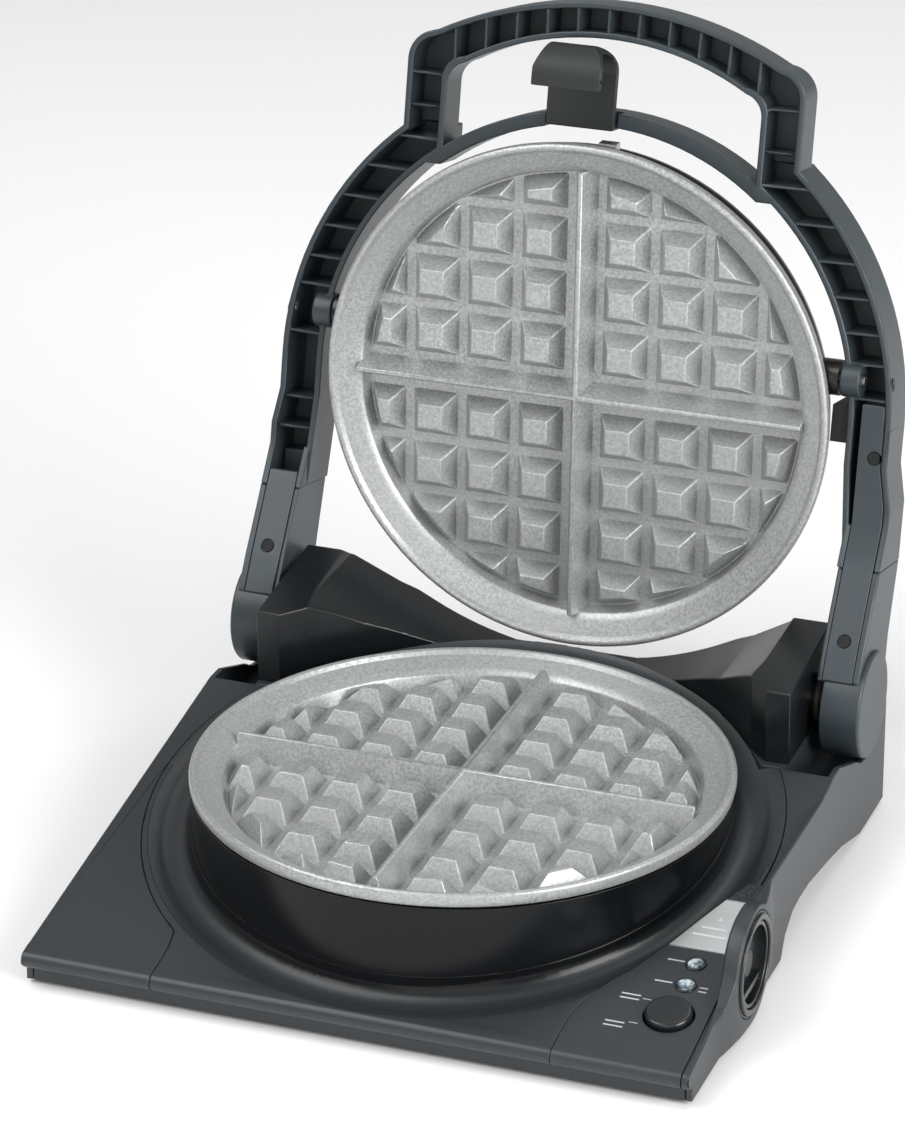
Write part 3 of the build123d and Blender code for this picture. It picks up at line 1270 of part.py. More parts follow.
right_recess = cover_strip(RIGHT_TOP, SEAM)
left_recess = mirror(cover_strip(LEFT_TOP, SEAM), about=Plane.YZ)
with BuildPart() as hinge_arm_right:
    add(arm_form.part)
    add(right_recess, mode=Mode.SUBTRACT)
    with BuildSketch(cover_screw_plane(*ARM_SCREWS_RIGHT[0])):
        Circle(SCREW_R)
    extrude(amount=-9.0, mode=Mode.SUBTRACT)
    with BuildSketch(yoke_plane.offset(LEAD_N)):
        with Locations((LEAD_X, LEG_S + TENON / 2)):
            Rectangle(2 * LEAD_R + 1, TENON + 6)
    extrude(amount=12, both=True, mode=Mode.SUBTRACT)
with BuildPart() as hinge_arm_left:
    add(mirror(arm_form.part, about=Plane.YZ))
    add(left_recess, mode=Mode.SUBTRACT)
    with BuildSketch(cover_screw_plane(*ARM_SCREWS_LEFT[0])):
        Circle(SCREW_R)
    extrude(amount=-9.0, mode=Mode.SUBTRACT)
for piece, name in ((hinge_arm_right, "hinge_arm_right"), (hinge_arm_left, "hinge_arm_left")):
    piece.part.label = name
    export_step(piece.part, f"parts/{name}.step")

# Arm covers and their screws.
with BuildPart() as right_arm_cover:
    add(cover_strip(RIGHT_TOP, 0.0))
    for place in ARM_SCREWS_RIGHT:
        with BuildSketch(cover_screw_plane(*place)):
            Circle(SCREW_R + 0.2)
        extrude(amount=6, both=True, mode=Mode.SUBTRACT)
        with BuildSketch(cover_screw_plane(*place).offset(-1.0)):
            Circle(ARM_HEAD_R + 0.3)
        extrude(amount=4, mode=Mode.SUBTRACT)
right_arm_cover.part.label = "right_arm_cover"
export_step(right_arm_cover.part, "parts/right_arm_cover.step")
with BuildPart() as left_arm_cover:
    add(mirror(cover_strip(LEFT_TOP, 0.0), about=Plane.YZ))
    for place in ARM_SCREWS_LEFT:
        with BuildSketch(cover_screw_plane(*place)):
            Circle(SCREW_R + 0.2)
        extrude(amount=6, both=True, mode=Mode.SUBTRACT)
        with BuildSketch(cover_screw_plane(*place).offset(-1.0)):
            Circle(ARM_HEAD_R + 0.3)
        extrude(amount=4, mode=Mode.SUBTRACT)
left_arm_cover.part.label = "left_arm_cover"
export_step(left_arm_cover.part, "parts/left_arm_cover.step")
with BuildPart() as arm_cover_screws:
    for place in ARM_SCREWS_RIGHT + ARM_SCREWS_LEFT:
        with BuildSketch(cover_screw_plane(*place).offset(-1.0)):
            Circle(ARM_HEAD_R)
        extrude(amount=0.8)
        with BuildSketch(cover_screw_plane(*place).offset(-1.0)):
            Circle(SCREW_R - SEAT)
        extrude(amount=-7.0)
arm_cover_screws.part.label = "arm_cover_screws"
export_step(arm_cover_screws.part, "parts/arm_cover_screws.step")

# Lead in the right leg, out through the inner wall into its boot beside the lid.
with BuildPart() as lid_lead:
    with BuildSketch(Plane(origin=yoke_plane.from_local_coords(Vector(LEAD_X, LEG_S - 1, LEAD_N)),
                           x_dir=(1, 0, 0), z_dir=yoke_plane.y_dir)):
        Circle(LEAD_R)
    extrude(amount=LEAD_S - LEG_S + 1)
    with BuildSketch(yoke_side(YOKE_INNER)):
        with Locations((LEAD_S, LEAD_N)):
            Circle(LEAD_R)
    extrude(amount=LEAD_X - YOKE_INNER)
lid_lead.part.label = "lid_lead"
export_step(lid_lead.part, "parts/lid_lead.step")
with BuildPart() as lead_boot:
    with BuildSketch(yoke_side(98.6)):
        with Locations((LEAD_S, LEAD_N + 5.5)):
            Rectangle(14, 19)
    extrude(amount=YOKE_INNER + 2 - 98.6)
    with BuildSketch(yoke_plane.offset(-40)):
        with Locations((0, RING_S)):
            Circle(YOKE_INNER)
        with Locations((0, RING_S - 20)):
            Rectangle(2 * YOKE_INNER, 40)
    extrude(amount=60, mode=Mode.INTERSECT)
lead_boot.part.label = "lead_boot"
export_step(lead_boot.part, "parts/lead_boot.step")

# Latch hook on its pin in the yoke's inner band.
HOOK_S = 223.0
HOOK_R = 11.5
HOOK_THICK = 2.5
HOOK_END = HOOK_S + HOOK_R + 0.1
HOOK_CORNER = 9.0
with BuildPart() as latch_hook:
    with BuildSketch(yoke_side(LATCH_LEFT)):
        with BuildLine():
            Polyline((HOOK_S, HOOK_R - 9.0), (202.4, HOOK_R - 9.0), (202.4, -5.4), (206.2, -5.4),
                     (208.4, 0),
                     (HOOK_S, 0))
            ThreePointArc((HOOK_S, 0), (HOOK_S + HOOK_R, HOOK_R), (HOOK_S, 2 * HOOK_R))
            Polyline((HOOK_S, 2 * HOOK_R), (219.0, 2 * HOOK_R), (219.0, 2 * HOOK_R - HOOK_THICK),
                     (HOOK_S, 2 * HOOK_R - HOOK_THICK))
            ThreePointArc((HOOK_S, 2 * HOOK_R - HOOK_THICK), (HOOK_S + HOOK_R - HOOK_THICK, HOOK_R),
                          (HOOK_S, HOOK_THICK))
        make_face()
        with Locations((LATCH_S, LATCH_N)):
            Circle(LATCH_PIN_R + RUN, mode=Mode.SUBTRACT)
    extrude(amount=LATCH_RIGHT - LATCH_LEFT)
    with BuildSketch(yoke_plane.offset(-20)):
        with BuildLine():
            ThreePointArc((LATCH_RIGHT, HOOK_END - HOOK_CORNER),
                          (LATCH_RIGHT - 0.293 * HOOK_CORNER, HOOK_END - 0.293 * HOOK_CORNER),
                          (LATCH_RIGHT - HOOK_CORNER, HOOK_END))
            Polyline((LATCH_RIGHT - HOOK_CORNER, HOOK_END), (LATCH_LEFT + 3, HOOK_END),
                     (LATCH_LEFT, HOOK_END - 8.5), (LATCH_LEFT, 195), (LATCH_RIGHT, 195),
                     (LATCH_RIGHT, HOOK_END - HOOK_CORNER))
        make_face()
    extrude(amount=60, mode=Mode.INTERSECT)
latch_hook.part.label = "latch_hook"
export_step(latch_hook.part, "parts/latch_hook.step")
with BuildPart() as latch_pin:
    with BuildSketch(yoke_side(LATCH_LEFT - 4.8)):
        with Locations((LATCH_S, LATCH_N)):
            Circle(LATCH_PIN_R)
    extrude(amount=LATCH_RIGHT - LATCH_LEFT + 9.6)
latch_pin.part.label = "latch_pin"
export_step(latch_pin.part, "parts/latch_pin.step")

# Retaining clip on the lid's top edge.
with BuildPart() as lid_clip:
    with BuildSketch(lid_plane.offset(-10.5)):
        with Locations((9.0, 97.6)):
            Rectangle(7.0, 5.0)
        Circle(97.0, mode=Mode.SUBTRACT)
    extrude(amount=4.6)
lid_clip.part.label = "lid_clip"
export_step(lid_clip.part, "parts/lid_clip.step")

whole = sum((b.part for b in (base_cover, yoke_frame, lid_dome)), Part())
print("plate_y", PLATE_Y, "bounds", whole.bounding_box())
print("hinge", 0, round(PLATE_Y + HINGE_Y, 3), round(RIM_Z + HINGE_Z, 3))
print("trunnion", 0, round(PLATE_Y + TRUN_Y, 4), round(RIM_Z + TRUN_Z, 4))
print("latch", yoke_plane.from_local_coords(Vector(0, LATCH_S, LATCH_N)))
print("dial", round(PLATE_Y + DIAL_Y, 3), round(RIM_Z + DIAL_Z, 3), "rocker", axle_plane.origin)
print("cord", CORD_X, round(PLATE_Y + REAR_Y, 3), round(RIM_Z + CORD_Z, 3))
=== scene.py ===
import bpy
import bmesh
import math
from mathutils import Matrix, Vector
from mathutils.bvhtree import BVHTree


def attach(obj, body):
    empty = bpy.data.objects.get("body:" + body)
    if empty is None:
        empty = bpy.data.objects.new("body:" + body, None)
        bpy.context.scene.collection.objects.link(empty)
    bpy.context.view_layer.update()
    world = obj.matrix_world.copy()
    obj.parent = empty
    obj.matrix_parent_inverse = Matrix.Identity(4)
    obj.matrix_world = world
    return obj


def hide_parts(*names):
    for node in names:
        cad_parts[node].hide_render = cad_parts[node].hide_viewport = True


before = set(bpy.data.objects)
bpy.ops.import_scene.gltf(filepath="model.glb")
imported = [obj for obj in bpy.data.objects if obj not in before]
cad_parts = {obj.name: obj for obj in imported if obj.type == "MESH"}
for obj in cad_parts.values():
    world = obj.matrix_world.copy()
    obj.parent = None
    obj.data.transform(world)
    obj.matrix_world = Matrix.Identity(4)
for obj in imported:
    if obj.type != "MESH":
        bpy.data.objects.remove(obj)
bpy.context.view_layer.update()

# Cooking plates. Cast aluminium with a baked-on non-stick coating: a neutral grey with fine metallic
# speckle, its gloss drifting in soft clouds. Both plates come from one mould, and every edge of the grid
# is softly rounded by the coating.


def hex_rgb(code):
    # One sRGB hex value as linear red, green, blue, alpha.
    parts = [int(code[i:i + 2], 16) / 255 for i in (1, 3, 5)]
    return tuple(p / 12.92 if p <= 0.04045 else ((p + 0.055) / 1.055) ** 2.4 for p in parts) + (1.0,)


def node(tree, kind, inputs=(), **settings):
    # Adds one node, with its settings, and its sockets linked or set.
    made = tree.nodes.new(kind)
    for name, value in settings.items():
        setattr(made, name, value)
    for key, value in dict(inputs).items():
        if isinstance(value, bpy.types.NodeSocket):
            tree.links.new(value, made.inputs[key])
        else:
            made.inputs[key].default_value = value
    return made


def fresh(name):
    # An empty material and its tree, with the output waiting.
    material = bpy.data.materials.new(name)
    material.use_nodes = True
    material.node_tree.nodes.clear()
    return material, material.node_tree


ROUNDING = 1
SAME_SURFACE = 0.9
NO_AREA = 1e-12


def even_shading(data):
    # Flat faces shade flat, curved ones smoothly, and each rounded edge, which carries the material
    # index ROUNDING, blends between its two sides. SAME_SURFACE is the cosine of the angle up to
    # which two faces are one curved surface.
    shape = bmesh.new()
    shape.from_mesh(data)
    shape.normal_update()
    normals = []
    for face in shape.faces:
        for corner in face.loops:
            around = [other for other in corner.vert.link_faces if other.material_index == 0]
            if face.material_index == 0:
                around = [other for other in around if other.normal.dot(face.normal) > SAME_SURFACE]
            total = Vector((0.0, 0.0, 0.0))
            for other in around:
                total += other.normal * other.calc_area()
            normals.append((total if total.length > NO_AREA else corner.vert.normal).normalized())
        face.material_index = 0
    shape.to_mesh(data)
    shape.free()
    data.normals_split_custom_set(normals)


WELD = 2e-6
COPLANAR = math.radians(0.4)
STEEP = math.radians(28.0)
STRAY = 0.6


def rounded(name, cad_node, width, body, whole_faces=False):
    # A merged copy of a CAD node, its steep outer edges rounded to a moulded or cast radius. A corner
    # that the rounding throws further than STRAY of that radius goes back to the CAD surface, and
    # whole_faces first makes each flat side one face.
    mesh = bmesh.new()
    mesh.from_mesh(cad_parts[cad_node].data)
    bmesh.ops.remove_doubles(mesh, verts=mesh.verts, dist=WELD)
    surface = BVHTree.FromBMesh(mesh)
    if whole_faces:
        bmesh.ops.dissolve_limit(mesh, angle_limit=COPLANAR, verts=mesh.verts, edges=mesh.edges)
    weight = mesh.edges.layers.float.new("bevel_weight_edge")
    for face in mesh.faces:
        face.smooth = True
    for edge in mesh.edges:
        steep = len(edge.link_faces) == 2 and edge.calc_face_angle(0.0) > STEEP
        edge[weight] = 1.0 if steep and edge.is_convex else 0.0
        edge.smooth = not (steep and not edge.is_convex)
    data = bpy.data.meshes.new(name)
    mesh.to_mesh(data)
    mesh.free()
    piece = bpy.data.objects.new(name, data)
    bpy.context.scene.collection.objects.link(piece)
    bevel = piece.modifiers.new("radius", "BEVEL")
    bevel.width = width
    bevel.segments = 2
    bevel.limit_method = "WEIGHT"
    bevel.use_clamp_overlap = False
    bevel.material = ROUNDING
    piece.data.materials.append(None)
    piece.data.materials.append(None)
    bpy.context.view_layer.update()
    piece.data = bpy.data.meshes.new_from_object(
        piece.evaluated_get(bpy.context.evaluated_depsgraph_get()))
    piece.modifiers.clear()
    for vertex in piece.data.vertices:
        nearest, _, _, distance = surface.find_nearest(vertex.co)
        if distance > STRAY * width:
            vertex.co = nearest
    even_shading(piece.data)
    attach(piece, body)
    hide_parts(cad_node)
    return piece


def dress(piece, material):
    # Gives a piece one material in place of what it came with.
    piece.data.materials.clear()
    piece.data.materials.append(material)


SPECKLES_PER_METRE = 900.0
CLOUDS_PER_METRE = 22.0
COATED_RADIUS = 0.0005


def nonstick_coating():
    material, tree = fresh("nonstick_coated_aluminium")
    place = node(tree, "ShaderNodeTexCoord").outputs["Object"]
    speckle = node(tree, "ShaderNodeTexNoise", {"Vector": place, "Scale": SPECKLES_PER_METRE,
                                                "Detail": 2.0})
    cloud = node(tree, "ShaderNodeTexNoise", {"Vector": place, "Scale": CLOUDS_PER_METRE,
                                              "Detail": 3.0})
    grey = node(tree, "ShaderNodeValToRGB", {"Fac": speckle.outputs["Fac"]})
    for stop, position, colour in zip(grey.color_ramp.elements, (0.36, 0.66), ("#939594", "#c2c5c4")):
        stop.position = position
        stop.color = hex_rgb(colour)
    tone = node(tree, "ShaderNodeMix", {"Factor": cloud.outputs["Fac"], "A": grey.outputs["Color"],
                                        "B": hex_rgb("#a7a9a8")}, data_type="RGBA")
    rough = node(tree, "ShaderNodeMapRange", {"Value": cloud.outputs["Fac"], "To Min": 0.34,
                                              "To Max": 0.44})
    bump = node(tree, "ShaderNodeBump", {"Height": speckle.outputs["Fac"], "Strength": 0.12,
                                         "Distance": 0.0002})
    shader = node(tree, "ShaderNodeBsdfPrincipled", {
        "Base Color": tone.outputs["Result"], "Metallic": 0.55, "Roughness": rough.outputs["Result"],
        "Normal": bump.outputs["Normal"]})
    node(tree, "ShaderNodeOutputMaterial", {"Surface": shader.outputs["BSDF"]})
    return material


coating = nonstick_coating()
for plate_node, plate_body in (("lower_grid_plate", "base"), ("upper_grid_plate", "lid")):
    plate = rounded(plate_node + "_coated", plate_node, COATED_RADIUS, plate_body)
    dress(plate, coating)

# Base mouldings. Black ABS with a fine spark-eroded texture, satin: light from above gives the deck a
# soft grey sheen.


DRIFTS_PER_METRE = 14.0
ROUGHNESS_SWING = 0.05


def moulded_plastic(name, colour, sheen_colour, roughness, grain_mm, depth=0.00004):
    # A part from a textured mould: grain_mm is the size of the mould's texture, depth its relief in
    # metres.
    material, tree = fresh(name)
    place = node(tree, "ShaderNodeTexCoord").outputs["Object"]
    grain = node(tree, "ShaderNodeTexNoise", {"Vector": place, "Scale": 1000.0 / grain_mm,
                                              "Detail": 1.0})
    drift = node(tree, "ShaderNodeTexNoise", {"Vector": place, "Scale": DRIFTS_PER_METRE,
                                              "Detail": 4.0})
    tone = node(tree, "ShaderNodeMix", {"Factor": drift.outputs["Fac"], "A": hex_rgb(colour),
                                        "B": hex_rgb(sheen_colour)}, data_type="RGBA")
    rough = node(tree, "ShaderNodeMapRange", {"Value": grain.outputs["Fac"],
                                              "To Min": roughness - ROUGHNESS_SWING,
                                              "To Max": roughness + ROUGHNESS_SWING})
    bump = node(tree, "ShaderNodeBump", {"Height": grain.outputs["Fac"], "Strength": 0.25,
                                         "Distance": depth})
    shader = node(tree, "ShaderNodeBsdfPrincipled", {
        "Base Color": tone.outputs["Result"], "Roughness": rough.outputs["Result"], "IOR": 1.53,
        "Normal": bump.outputs["Normal"]})
    node(tree, "ShaderNodeOutputMaterial", {"Surface": shader.outputs["BSDF"]})
    return material


base_plastic = moulded_plastic("satin_black_abs", "#24282b", "#2b2f33", 0.42, 0.45)
for part_name, radius in (("base_cover", 0.0006), ("dial_housing", 0.0002), ("control_panel", 0.0002),
                          ("bottom_pan", 0.0005)):
    shell = rounded(part_name + "_moulding", part_name, radius, "base",
                    whole_faces=part_name == "control_panel")
    dress(shell, base_plastic)

# Hinge towers. The same plastic from a polished mould, in jet black, so only their upper edges catch
# light.
tower_plastic = moulded_plastic("polished_jet_abs", "#0a0d10", "#0f1316", 0.30, 0.9, 0.00001)
for part_name in ("tower_right", "tower_left"):
    tower = rounded(part_name + "_moulding", part_name, 0.0006, "base")
    dress(tower, tower_plastic)

# Well shroud. Apron and channel carry the deck's texture; the wall of the well is polished, and its
# near black colour is painted shade, deep under the plate's rim.


PLATE_Y = -29.6
WELL_EDGE = (0.1000, 0.1035)
WELL_GRAINS_PER_METRE = 2200.0


def well_plastic_with_painted_shade():
    # Changes over WELL_EDGE, the distances in metres from the plate's upright axis at PLATE_Y
    # millimetres. Inside it the near black colour is painted shade.
    material, tree = fresh("textured_apron_and_polished_well_abs_with_painted_shade")
    place = node(tree, "ShaderNodeTexCoord").outputs["Object"]
    axis = node(tree, "ShaderNodeVectorMath", {0: place, 1: (0.0, PLATE_Y / 1000, 0.0)},
                operation="SUBTRACT")
    flat = node(tree, "ShaderNodeVectorMath", {0: axis.outputs["Vector"], 1: (1.0, 1.0, 0.0)},
                operation="MULTIPLY")
    radius = node(tree, "ShaderNodeVectorMath", {0: flat.outputs["Vector"]}, operation="LENGTH")
    outside_well_shade = node(tree, "ShaderNodeMapRange", {"Value": radius.outputs["Value"],
                                                "From Min": WELL_EDGE[0], "From Max": WELL_EDGE[1]})
    grain = node(tree, "ShaderNodeTexNoise", {"Vector": place, "Scale": WELL_GRAINS_PER_METRE,
                                              "Detail": 1.0})
    # The near black inside WELL_EDGE is painted shade; the apron's grey is the plastic's own.
    tone = node(tree, "ShaderNodeMix", {"Factor": outside_well_shade.outputs["Result"], "A": hex_rgb("#0c0e10"),
                                        "B": hex_rgb("#272b2e")}, data_type="RGBA")
    rough = node(tree, "ShaderNodeMapRange", {"Value": outside_well_shade.outputs["Result"], "To Min": 0.22,
                                              "To Max": 0.40})
    gloss = node(tree, "ShaderNodeMapRange", {"Value": outside_well_shade.outputs["Result"], "To Min": 0.22,
                                              "To Max": 0.5})
    bump = node(tree, "ShaderNodeBump", {"Height": grain.outputs["Fac"], "Strength": 0.2,
                                         "Distance": 0.00004})
    shader = node(tree, "ShaderNodeBsdfPrincipled", {
        "Base Color": tone.outputs["Result"], "Roughness": rough.outputs["Result"], "IOR": 1.53,
        "Specular IOR Level": gloss.outputs["Result"], "Normal": bump.outputs["Normal"]})
    node(tree, "ShaderNodeOutputMaterial", {"Surface": shader.outputs["BSDF"]})
    return material


shroud = rounded("pot_shroud_moulding", "pot_shroud", 0.0004, "base")
dress(shroud, well_plastic_with_painted_shade())

# Yoke. Glass-filled nylon, a bluer slate black; the same satin as the base, with deep ribbed pockets.
yoke_plastic = moulded_plastic("slate_black_nylon", "#2a3236", "#333b40", 0.40, 0.40)
for part_name, radius in (("yoke_frame", 0.0006), ("hinge_arm_right", 0.0008),
                          ("hinge_arm_left", 0.0008), ("right_arm_cover", 0.0004),
                          ("left_arm_cover", 0.0004)):
    limb = rounded(part_name + "_moulding", part_name, radius, "yoke", whole_faces="cover" in part_name)
    dress(limb, yoke_plastic)

# Latch hook. The same nylon with a matt finish; its darker, greener colour is painted shade.
latch_plastic_painted_shade = moulded_plastic("nylon_with_painted_shade", "#141817", "#1b201e", 0.55, 0.5)
hook = rounded("latch_hook_moulding", "latch_hook", 0.0006, "latch")
dress(hook, latch_plastic_painted_shade)

# Lid dome. Pressed steel, stove-enamelled in a dark olive black that throws long soft highlights.


PEELS_PER_METRE = 240.0
DOME_DRIFTS_PER_METRE = 9.0


def stoved_enamel():
    material, tree = fresh("olive_black_stove_enamel")
    place = node(tree, "ShaderNodeTexCoord").outputs["Object"]
    orange_peel = node(tree, "ShaderNodeTexNoise", {"Vector": place, "Scale": PEELS_PER_METRE})
    bump = node(tree, "ShaderNodeBump", {"Height": orange_peel.outputs["Fac"], "Strength": 0.12,
                                         "Distance": 0.0002})
    drift = node(tree, "ShaderNodeTexNoise", {"Vector": place, "Scale": DOME_DRIFTS_PER_METRE})
    tone = node(tree, "ShaderNodeMix", {"Factor": drift.outputs["Fac"], "A": hex_rgb("#1b1c17"),
                                        "B": hex_rgb("#141511")}, data_type="RGBA")
    shader = node(tree, "ShaderNodeBsdfPrincipled", {
        "Base Color": tone.outputs["Result"], "Metallic": 0.25, "Roughness": 0.30, "Coat Weight": 0.25,
        "Coat Roughness": 0.14, "Normal": bump.outputs["Normal"]})
    node(tree, "ShaderNodeOutputMaterial", {"Surface": shader.outputs["BSDF"]})
    return material


dress(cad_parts["lid_dome"], stoved_enamel())

# Dial, its bezel and the rocker. Polished black ABS, smooth enough to show a crisp highlight.
control_plastic = moulded_plastic("polished_black_abs", "#17191b", "#1c1f21", 0.24, 0.8, 0.00001)
for part_name, control_body, radius in (("colour_dial", "dial", 0.0003), ("dial_bezel", "base", 0.0003),
                                        ("texture_rocker", "rocker", 0.0004)):
    control = rounded(part_name + "_moulding", part_name, radius, control_body)
    dress(control, control_plastic)

# Label plate. Brushed aluminium foil under a clear lacquer, brushed across the deck; its rear tip is a
# dark film with an embossed grain.


BRUSH_PER_METRE = (60.0, 3000.0, 60.0)
TIP_STARTS = (-0.0532, -0.0522)
EMBOSSINGS_PER_METRE = 900.0


def brushed_label():
    material, tree = fresh("brushed_aluminium_label")
    place = node(tree, "ShaderNodeTexCoord").outputs["Object"]
    along = node(tree, "ShaderNodeMapping", {"Vector": place, "Scale": BRUSH_PER_METRE})
    brush = node(tree, "ShaderNodeTexNoise", {"Vector": along.outputs["Vector"], "Scale": 1.0,
                                              "Detail": 3.0})
    rough = node(tree, "ShaderNodeMapRange", {"Value": brush.outputs["Fac"], "To Min": 0.28,
                                              "To Max": 0.42})
    tone = node(tree, "ShaderNodeMix", {"Factor": brush.outputs["Fac"], "A": hex_rgb("#cfd2d3"),
                                        "B": hex_rgb("#e9ebec")}, data_type="RGBA")
    split = node(tree, "ShaderNodeSeparateXYZ", {0: place})
    tip = node(tree, "ShaderNodeMapRange", {"Value": split.outputs["Y"], "From Min": TIP_STARTS[0],
                                            "From Max": TIP_STARTS[1]})
    dots = node(tree, "ShaderNodeTexVoronoi", {"Vector": place, "Scale": EMBOSSINGS_PER_METRE})
    dark = node(tree, "ShaderNodeMix", {"Factor": dots.outputs["Distance"], "A": hex_rgb("#15181a"),
                                        "B": hex_rgb("#53585b")}, data_type="RGBA")
    both = node(tree, "ShaderNodeMix", {"Factor": tip.outputs["Result"], "A": tone.outputs["Result"],
                                        "B": dark.outputs["Result"]}, data_type="RGBA")
    shader = node(tree, "ShaderNodeBsdfPrincipled", {
        "Base Color": both.outputs["Result"], "Metallic": 0.75, "Roughness": rough.outputs["Result"]})
    node(tree, "ShaderNodeOutputMaterial", {"Surface": shader.outputs["BSDF"]})
    return material


dress(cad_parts["label_plate"], brushed_label())

# Lamp lenses. Clear polycarbonate over a white carrier, faintly blue from the lamp behind.


LENS_FACETS_PER_METRE = 420.0


def clear_lens():
    material, tree = fresh("clear_polycarbonate")
    place = node(tree, "ShaderNodeTexCoord").outputs["Object"]
    facets = node(tree, "ShaderNodeTexNoise", {"Vector": place, "Scale": LENS_FACETS_PER_METRE})
    tone = node(tree, "ShaderNodeValToRGB", {"Fac": facets.outputs["Fac"]})
    for stop, position, colour in zip(tone.color_ramp.elements, (0.40, 0.60), ("#5f7480", "#e6f2f8")):
        stop.position = position
        stop.color = hex_rgb(colour)
    shader = node(tree, "ShaderNodeBsdfPrincipled", {
        "Base Color": tone.outputs["Color"], "Roughness": 0.08, "IOR": 1.58, "Coat Weight": 1.0})
    node(tree, "ShaderNodeOutputMaterial", {"Surface": shader.outputs["BSDF"]})
    return material


dress(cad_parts["lamp_lenses"], clear_lens())

# Printed marks and lamp rings. Screen-printed ink: plain grey dashes beside each lamp and the rocker,
# white dashes and a pointer on the label. Round each lens is a raised black ring.


def stamps(name, stamp_mesh, places, body, material):
    # Copies of one small form, each given as its place, its turn and its size.
    points = bpy.data.meshes.new(name + "_places")
    points.from_pydata([place for place, _, _ in places], [], [])
    for key, column in (("turn", 1), ("size", 2)):
        values = points.attributes.new(key, "FLOAT_VECTOR", "POINT")
        for i, row in enumerate(places):
            values.data[i].vector = row[column]
    piece = bpy.data.objects.new(name, points)
    stamp = bpy.data.objects.new(name + "_stamp", stamp_mesh)
    bpy.context.scene.collection.objects.link(piece)
    bpy.context.scene.collection.objects.link(stamp)
    tree = bpy.data.node_groups.new(name, "GeometryNodeTree")
    tree.interface.new_socket("Geometry", in_out="INPUT", socket_type="NodeSocketGeometry")
    form = tree.interface.new_socket("Form", in_out="INPUT", socket_type="NodeSocketObject")
    finish = tree.interface.new_socket("Finish", in_out="INPUT", socket_type="NodeSocketMaterial")
    tree.interface.new_socket("Geometry", in_out="OUTPUT", socket_type="NodeSocketGeometry")
    given = node(tree, "NodeGroupInput")
    source = node(tree, "GeometryNodeObjectInfo", {"Object": given.outputs["Form"]})
    turn = node(tree, "GeometryNodeInputNamedAttribute", {"Name": "turn"}, data_type="FLOAT_VECTOR")
    size = node(tree, "GeometryNodeInputNamedAttribute", {"Name": "size"}, data_type="FLOAT_VECTOR")
    spin = node(tree, "FunctionNodeEulerToRotation", {"Euler": turn.outputs["Attribute"]})
    copies = node(tree, "GeometryNodeInstanceOnPoints", {
        "Points": given.outputs["Geometry"], "Instance": source.outputs["Geometry"],
        "Rotation": spin.outputs["Rotation"], "Scale": size.outputs["Attribute"]})
    solid = node(tree, "GeometryNodeRealizeInstances", {"Geometry": copies.outputs["Instances"]})
    inked = node(tree, "GeometryNodeSetMaterial", {"Geometry": solid.outputs["Geometry"],
                                                   "Material": given.outputs["Finish"]})
    node(tree, "NodeGroupOutput", {"Geometry": inked.outputs["Geometry"]})
    spread = piece.modifiers.new("spread", "NODES")
    spread.node_group = tree
    spread[form.identifier] = stamp
    spread[finish.identifier] = material
    bpy.context.view_layer.update()
    piece.data = bpy.data.meshes.new_from_object(
        piece.evaluated_get(bpy.context.evaluated_depsgraph_get()))
    piece.modifiers.clear()
    bpy.data.objects.remove(stamp)
    dress(piece, material)
    piece.data.polygons.foreach_set("material_index", [0] * len(piece.data.polygons))
    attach(piece, body)
    return piece


RIM_Z = 55.6
DECK_DROP = 20.68
DECK_SLOPE = 0.18


def on_deck(x, y, lift):
    # A place on the sloping deck: x and y in millimetres from the plate's axis, lift above the panel.
    # The deck is DECK_DROP below the plate's rim at the axis and rises by DECK_SLOPE to the rear.
    return (x / 1000, (y + PLATE_Y) / 1000, (RIM_Z - DECK_DROP + DECK_SLOPE * y + lift) / 1000)


slab = bpy.data.meshes.new("ink_slab")
slab.from_pydata([(x, y, z) for z in (0, 1)
                  for x, y in ((-.5, -.5), (.5, -.5), (.5, .5), (-.5, .5))], [],
                 [(3, 2, 1, 0), (4, 5, 6, 7), (0, 1, 5, 4), (1, 2, 6, 5), (2, 3, 7, 6), (3, 0, 4, 7)])
wedge = bpy.data.meshes.new("ink_pointer")
wedge.from_pydata([(-.5, -.5, 0), (.5, -.5, 0), (0, .5, 0), (-.5, -.5, 1), (.5, -.5, 1), (0, .5, 1)], [],
                  [(2, 1, 0), (3, 4, 5), (0, 1, 4, 3), (1, 2, 5, 4), (2, 0, 3, 5)])
DECK_TILT = (math.atan(DECK_SLOPE), 0.0, 0.0)
INK = 0.00006
SUNK = -0.02
LABEL_TOP = 0.49
ink = moulded_plastic("grey_screen_ink", "#9fa5a8", "#b4babd", 0.5, 0.3)
white_ink = moulded_plastic("white_screen_ink", "#eef0f0", "#f6f7f7", 0.5, 0.3)
dashes = [(on_deck(x, y, SUNK), DECK_TILT, (long / 1000, wide / 1000, INK))
          for x, y, long, wide in (
              (101.4, -58.9, 6.4, 0.7), (100.6, -70.9, 6.4, 0.7), (115.3, -70.9, 3.0, 0.7),
              (115.3, -73.0, 3.0, 0.7), (92.0, -80.4, 7.0, 0.7), (92.0, -82.6, 7.0, 0.7),
              (98.2, -81.6, 3.2, 0.35), (91.0, -95.6, 7.0, 0.7), (91.0, -97.8, 7.0, 0.7),
              (97.4, -94.6, 3.2, 0.35))]
stamps("panel_dashes", slab, dashes, "base", ink)
pointer = [(on_deck(109.8, -34.0, LABEL_TOP), DECK_TILT, (0.0018, 0.0022, INK))]
stamps("label_pointer", wedge, pointer, "base", white_ink)
label_rows = [(on_deck(x, y, LABEL_TOP), DECK_TILT, (long / 1000, 0.0009, INK))
              for x, y, long in ((109.0, -39.6, 9.0), (108.6, -43.8, 12.0))]
stamps("label_dashes", slab, label_rows, "base", white_ink)

